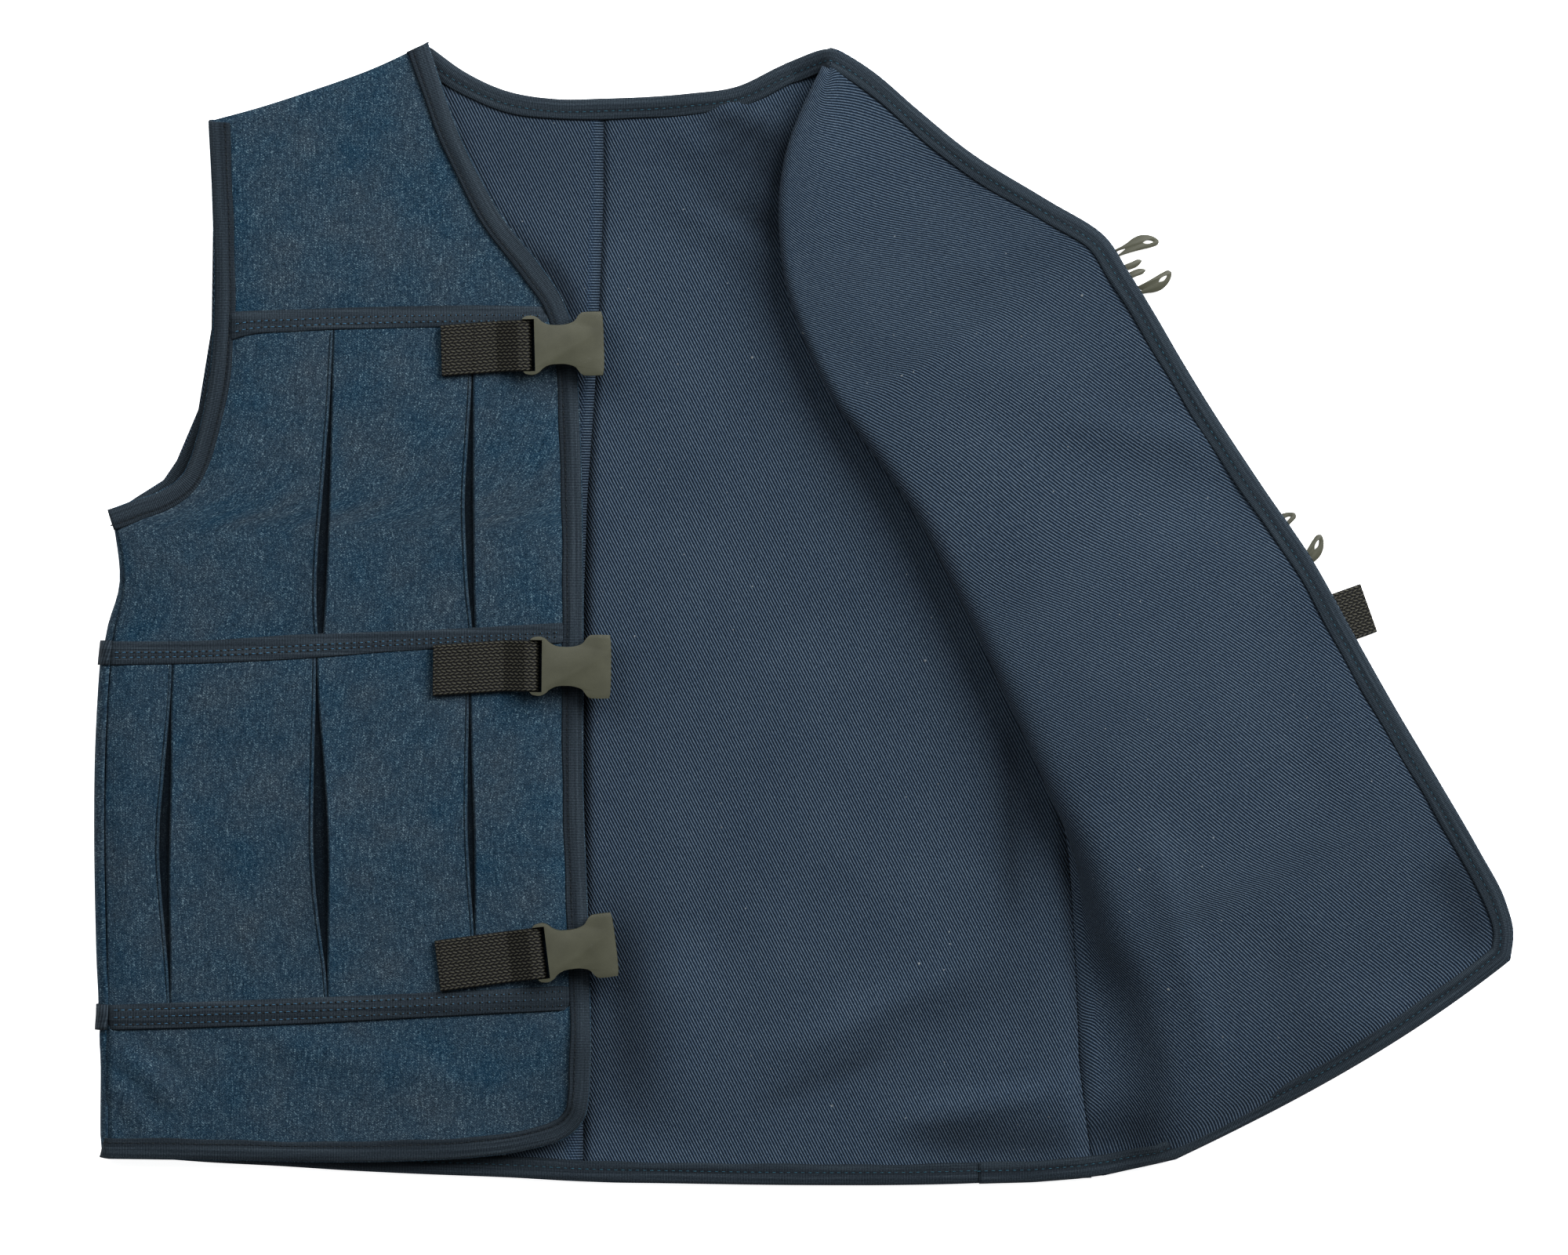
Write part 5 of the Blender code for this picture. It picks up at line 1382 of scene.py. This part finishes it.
def outline_mesh(loops, thick):
    """A mesh of the flat shape inside the first loop, less the others, extruded about z = 0."""
    curve = bpy.data.curves.new("outline", "CURVE")
    curve.dimensions = "2D"
    curve.fill_mode = "BOTH"
    curve.extrude = thick / 2 * MM
    for points in loops:
        spline = curve.splines.new("POLY")
        spline.points.add(len(points) - 1)
        for spot, (x, y) in zip(spline.points, points):
            spot.co = (x * MM, y * MM, 0, 1)
        spline.use_cyclic_u = True
    mesh = as_mesh(put("outline", curve))
    bm = bmesh.new()
    bm.from_mesh(mesh)
    bmesh.ops.remove_doubles(bm, verts=bm.verts, dist=1e-6)
    bmesh.ops.recalc_face_normals(bm, faces=bm.faces)
    return written(bm, mesh)


def box_mesh(low, high):
    bm = bmesh.new()
    bmesh.ops.create_cube(bm, size=1)
    bmesh.ops.scale(bm, vec=[(b - a) * MM for a, b in zip(low, high)], verts=bm.verts)
    bmesh.ops.translate(bm, vec=[(a + b) / 2 * MM for a, b in zip(low, high)], verts=bm.verts)
    return written(bm, bpy.data.meshes.new("box"))


def soften(body, width, segments, angle):
    """Rounds the edges that are sharper than an angle."""
    edges = body.modifiers.new("Soft edges", "BEVEL")
    edges.width = width * MM
    edges.segments = segments
    edges.limit_method = "ANGLE"
    edges.angle_limit = math.radians(angle)


def moulded(mesh, boxes, parts, soft_edge):
    """A block less the boxes and with the parts joined on, as a plain mesh."""
    body = put("body", mesh)
    soften(body, soft_edge, 3, 50)
    cuts = [put("cut", box_mesh(*box)) for box in boxes]
    for way, others in (("DIFFERENCE", cuts), ("UNION", parts)):
        for other in others:
            change = body.modifiers.new("Change", "BOOLEAN")
            change.operation = way
            change.object = other
            change.solver = "EXACT"
    mesh = as_mesh(body)
    for other in (*cuts, *parts):
        bpy.data.objects.remove(other)
    mesh.shade_smooth()
    mesh.set_sharp_from_angle(angle=math.radians(40))
    mesh.materials.clear()
    mesh.materials.append(MATERIALS["buckle"])
    return mesh


def webbing_bar_boxes(thick, slot_end):
    """What is cut from a buckle's webbing end to leave a bar, a slot behind it and room round it."""
    half = WEBBING_WIDTH / 2 + 0.2
    start, end = BAR_PLACE - BAR / 2, BAR_PLACE + BAR / 2
    tall = thick / 2 + 1
    return [
        ((end, -half, -tall), (slot_end, half, tall)),
        ((start - 4, -half, BAR / 2), (end + 0.1, half, tall)),
        ((start - 4, -half, -tall), (end + 0.1, half, -BAR / 2)),
        ((start - 4, -half, -tall), (start, half, tall)),
    ]


def socket_mesh():
    """The socket half of a side-release buckle, open at the waist's sides and at its mouth."""
    upper = through(SOCKET_OUTLINE, step=0.9).tolist()
    end = BUCKLE_LENGTH
    nose = [(end - 0.25, 13.0), (end, 7.0), (end, -7.0), (end - 0.25, -13.0)]
    outline = upper + nose + [(x, -y) for x, y in upper[::-1]]
    inside = BUCKLE_THICK / 2 - PLATE
    boxes = webbing_bar_boxes(BUCKLE_THICK, 5.8)
    boxes.append(((14.0, -12.5, -inside), (end + 1, 12.5, inside)))
    return moulded(outline_mesh([outline], BUCKLE_THICK), boxes, [], 0.9)


def plug_mesh():
    """The plug half: a block with its webbing bar, two sprung prongs and two guides."""
    block = box_mesh(
        (0.0, -PLUG_HALF_WIDTH, -PLUG_THICK / 2), (PLUG_BLOCK, PLUG_HALF_WIDTH, PLUG_THICK / 2)
    )
    parts = []
    for side in (1, -1):
        for outlines, thick in (
            ((PRONG_OUTLINE, PRONG_WINDOW, ARM_WINDOW), PRONG_THICK),
            ((GUIDE_OUTLINE,), PRONG_THICK - 1.2),
        ):
            lines = [through([*points, points[0]], step=0.8)[:-1] for points in outlines]
            loops = [[(x, side * y) for x, y in line.tolist()] for line in lines]
            part = put("part", outline_mesh(loops, thick))
            soften(part, 0.35, 2, 60)
            parts.append(part)
    return moulded(block, webbing_bar_boxes(PLUG_THICK, 6.6), parts, 1.2)


def set_down(mesh, name, spot, z, turn):
    """A buckle half as its own piece, with its place in its mesh."""
    copy = mesh.copy()
    copy.name = f"{name}_moulding"
    move = Matrix.Translation(Vector((spot.x - OUTLINE_CENTRE[0], spot.y - OUTLINE_CENTRE[1], z)) * MM)
    copy.transform(move @ Matrix.Rotation(math.radians(turn), 4, "Z"))
    piece = put(f"{name}_moulding", copy)
    settle(piece, name)


def build_right_straps():
    socket = socket_mesh()
    first_leg = STRAP_FACE + WEBBING_WALL / 2
    rows = []
    for key, values in zip(KEYS, zip(*RIGHT_STRAPS.values())):
        start_x, start_y, length, turn, buckle_turn, seam = values
        bar = Vector((start_x, start_y)) + heading(turn) * length
        leg = length - LEG_END
        path = loop_path((0.0, leg / 2, leg), (0.0, 0.0, 0.0), length, BUCKLE_HEIGHT - first_leg)
        drift = -math.tan(math.radians(turn - buckle_turn)) * leg
        ahead = heading(buckle_turn)
        spot = bar - ahead * length
        webbing(f"right_{key}_strap", path, spot, first_leg, buckle_turn, True, drift, leg)
        # Two rows of stitches hold the strap: by its cut end and further on
        for place in (2.2, seam):
            shift = drift * max(0.0, 1 - place / leg)
            height = WEBBING_LEG + WEBBING_WALL / 2 - 0.12
            line = [(place, y + shift, height) for y in np.linspace(-11.5, 11.5, 24)]
            rows.append(placed(line, spot, first_leg, buckle_turn))
        set_down(socket, f"right_{key}_buckle", bar - ahead * BAR_PLACE, BUCKLE_HEIGHT, buckle_turn)
    stitches("right_strap_stitching", rows, BLACK_THREAD, pitch=2.6, stitch=2.0, thick=0.6)


def surface_of(grid):
    """A grid of points as a surface that can be measured from below."""
    rows, wide, _ = grid.shape
    firsts = [r * wide + c for r in range(rows - 1) for c in range(wide - 1)]
    faces = [(k, k + 1, k + wide + 1, k + wide) for k in firsts]
    return BVHTree.FromPolygons([Vector(point) for point in grid.reshape(-1, 3)], faces)


def webbing_heights(surface, start, turn, along):
    """How high webbing can lie at places along it: just under the lowest cloth over its width."""
    ahead = heading(turn)
    across = Vector((-ahead.y, ahead.x)) * WEBBING_WIDTH / 2
    heights = []
    for step in along:
        spots = [start + ahead * step + across * part for part in (-1, -0.5, 0, 0.5, 1)]
        hits = [surface.ray_cast(Vector((*spot, -100)), Vector((0, 0, 1)))[0] for spot in spots]
        heights.append(min(hit.z for hit in hits if hit) - WEBBING_WALL * 0.55)
    return heights


def build_left_straps(plain):
    plug = plug_mesh()
    under = surface_of((plain.points + (BAND + STEP + 0.8) * plain.out)[:, 16:])
    for key, (bar_x, bar_y, length, turn) in zip(KEYS, zip(*LEFT_STRAPS.values())):
        ahead = heading(turn)
        start = Vector((bar_x, bar_y)) + ahead * (BAR_PLACE - length)
        along = np.linspace(0.0, length - LEG_END, 6)
        heights = [height - WEBBING_LEG for height in webbing_heights(under, start, turn, along)]
        path = loop_path(along, heights, length, PLUG_HEIGHT)
        webbing(f"left_{key}_strap", path, start, 0.0, turn, False)
        set_down(plug, f"left_{key}_buckle", start + ahead * (length - BAR_PLACE), PLUG_HEIGHT, turn)
    turn, length = TAIL["turn"], TAIL["length"]
    start = Vector((TAIL["end_x"], TAIL["end_y"])) - heading(turn) * length
    along = (0.0, length * 0.3, length * 0.55)
    heights = webbing_heights(under, start, turn, along)
    path = [*zip(along, heights), (length * 0.8, heights[-1] * 0.6), (length, 2.2)]
    webbing("left_middle_strap_tail", path[::-1], start, 0.0, turn, True, hidden=0.0)


def soft_light(name, place, size, power):
    """A round white light that points at the vest's middle."""
    data = bpy.data.lights.new(name, "AREA")
    data.shape = "DISK"
    data.size = size
    data.energy = power
    made = put(name, data)
    made.location = place
    made.rotation_euler = (-made.location).to_track_quat("-Z", "Y").to_euler()


def build_studio():
    """A white floor, a dim even surround and two large soft lights beyond the neck."""
    scene = bpy.context.scene
    world = bpy.data.worlds.new("pale_studio")
    world.use_nodes = True
    surround = world.node_tree.nodes["Background"].inputs
    surround["Color"].default_value = linear("#ffffff")
    surround["Strength"].default_value = 0.23
    scene.world = world
    bm = bmesh.new()
    bmesh.ops.create_circle(bm, cap_ends=True, segments=96, radius=6.0)
    floor = put("floor", written(bm, bpy.data.meshes.new("floor")))
    floor.location.z = -0.0002
    paper, tree, shader = new_material("white_paper", roughness=0.9, specular_ior_level=0.1)
    tone = noise(tree, add(tree, "ShaderNodeTexCoord").outputs["Object"], 3.0)
    paper_colour = ramp(tree, tone, (0.0, "#f4f4f4"), (1.0, "#f8f8f8"))
    tree.links.new(paper_colour, shader.inputs["Base Color"])
    # The floor is lit from below as on a light table, so that no shadow greys it
    tree.links.new(paper_colour, shader.inputs["Emission Color"])
    shader.inputs["Emission Strength"].default_value = 0.9
    floor.data.materials.append(paper)
    soft_light("window_right", (1.6, 1.5, 1.8), 2.4, 158)
    soft_light("window_left", (-1.2, 1.3, 2.3), 1.8, 40)
    camera = bpy.data.cameras.new("camera")
    camera.sensor_width = 36.0
    camera.lens = CAMERA_LENS
    camera.clip_end = 50.0
    scene.camera = put("camera", camera)
    scene.camera.location = (*CAMERA_AIM, CAMERA_HEIGHT)
    scene.view_settings.view_transform = "Standard"
    # The photo has more contrast than a plain exposure
    scene.view_settings.gamma = 0.86


build_studio()
build_back()
build_right_front()
turned_front = build_left_front()
build_right_straps()
build_left_straps(turned_front)
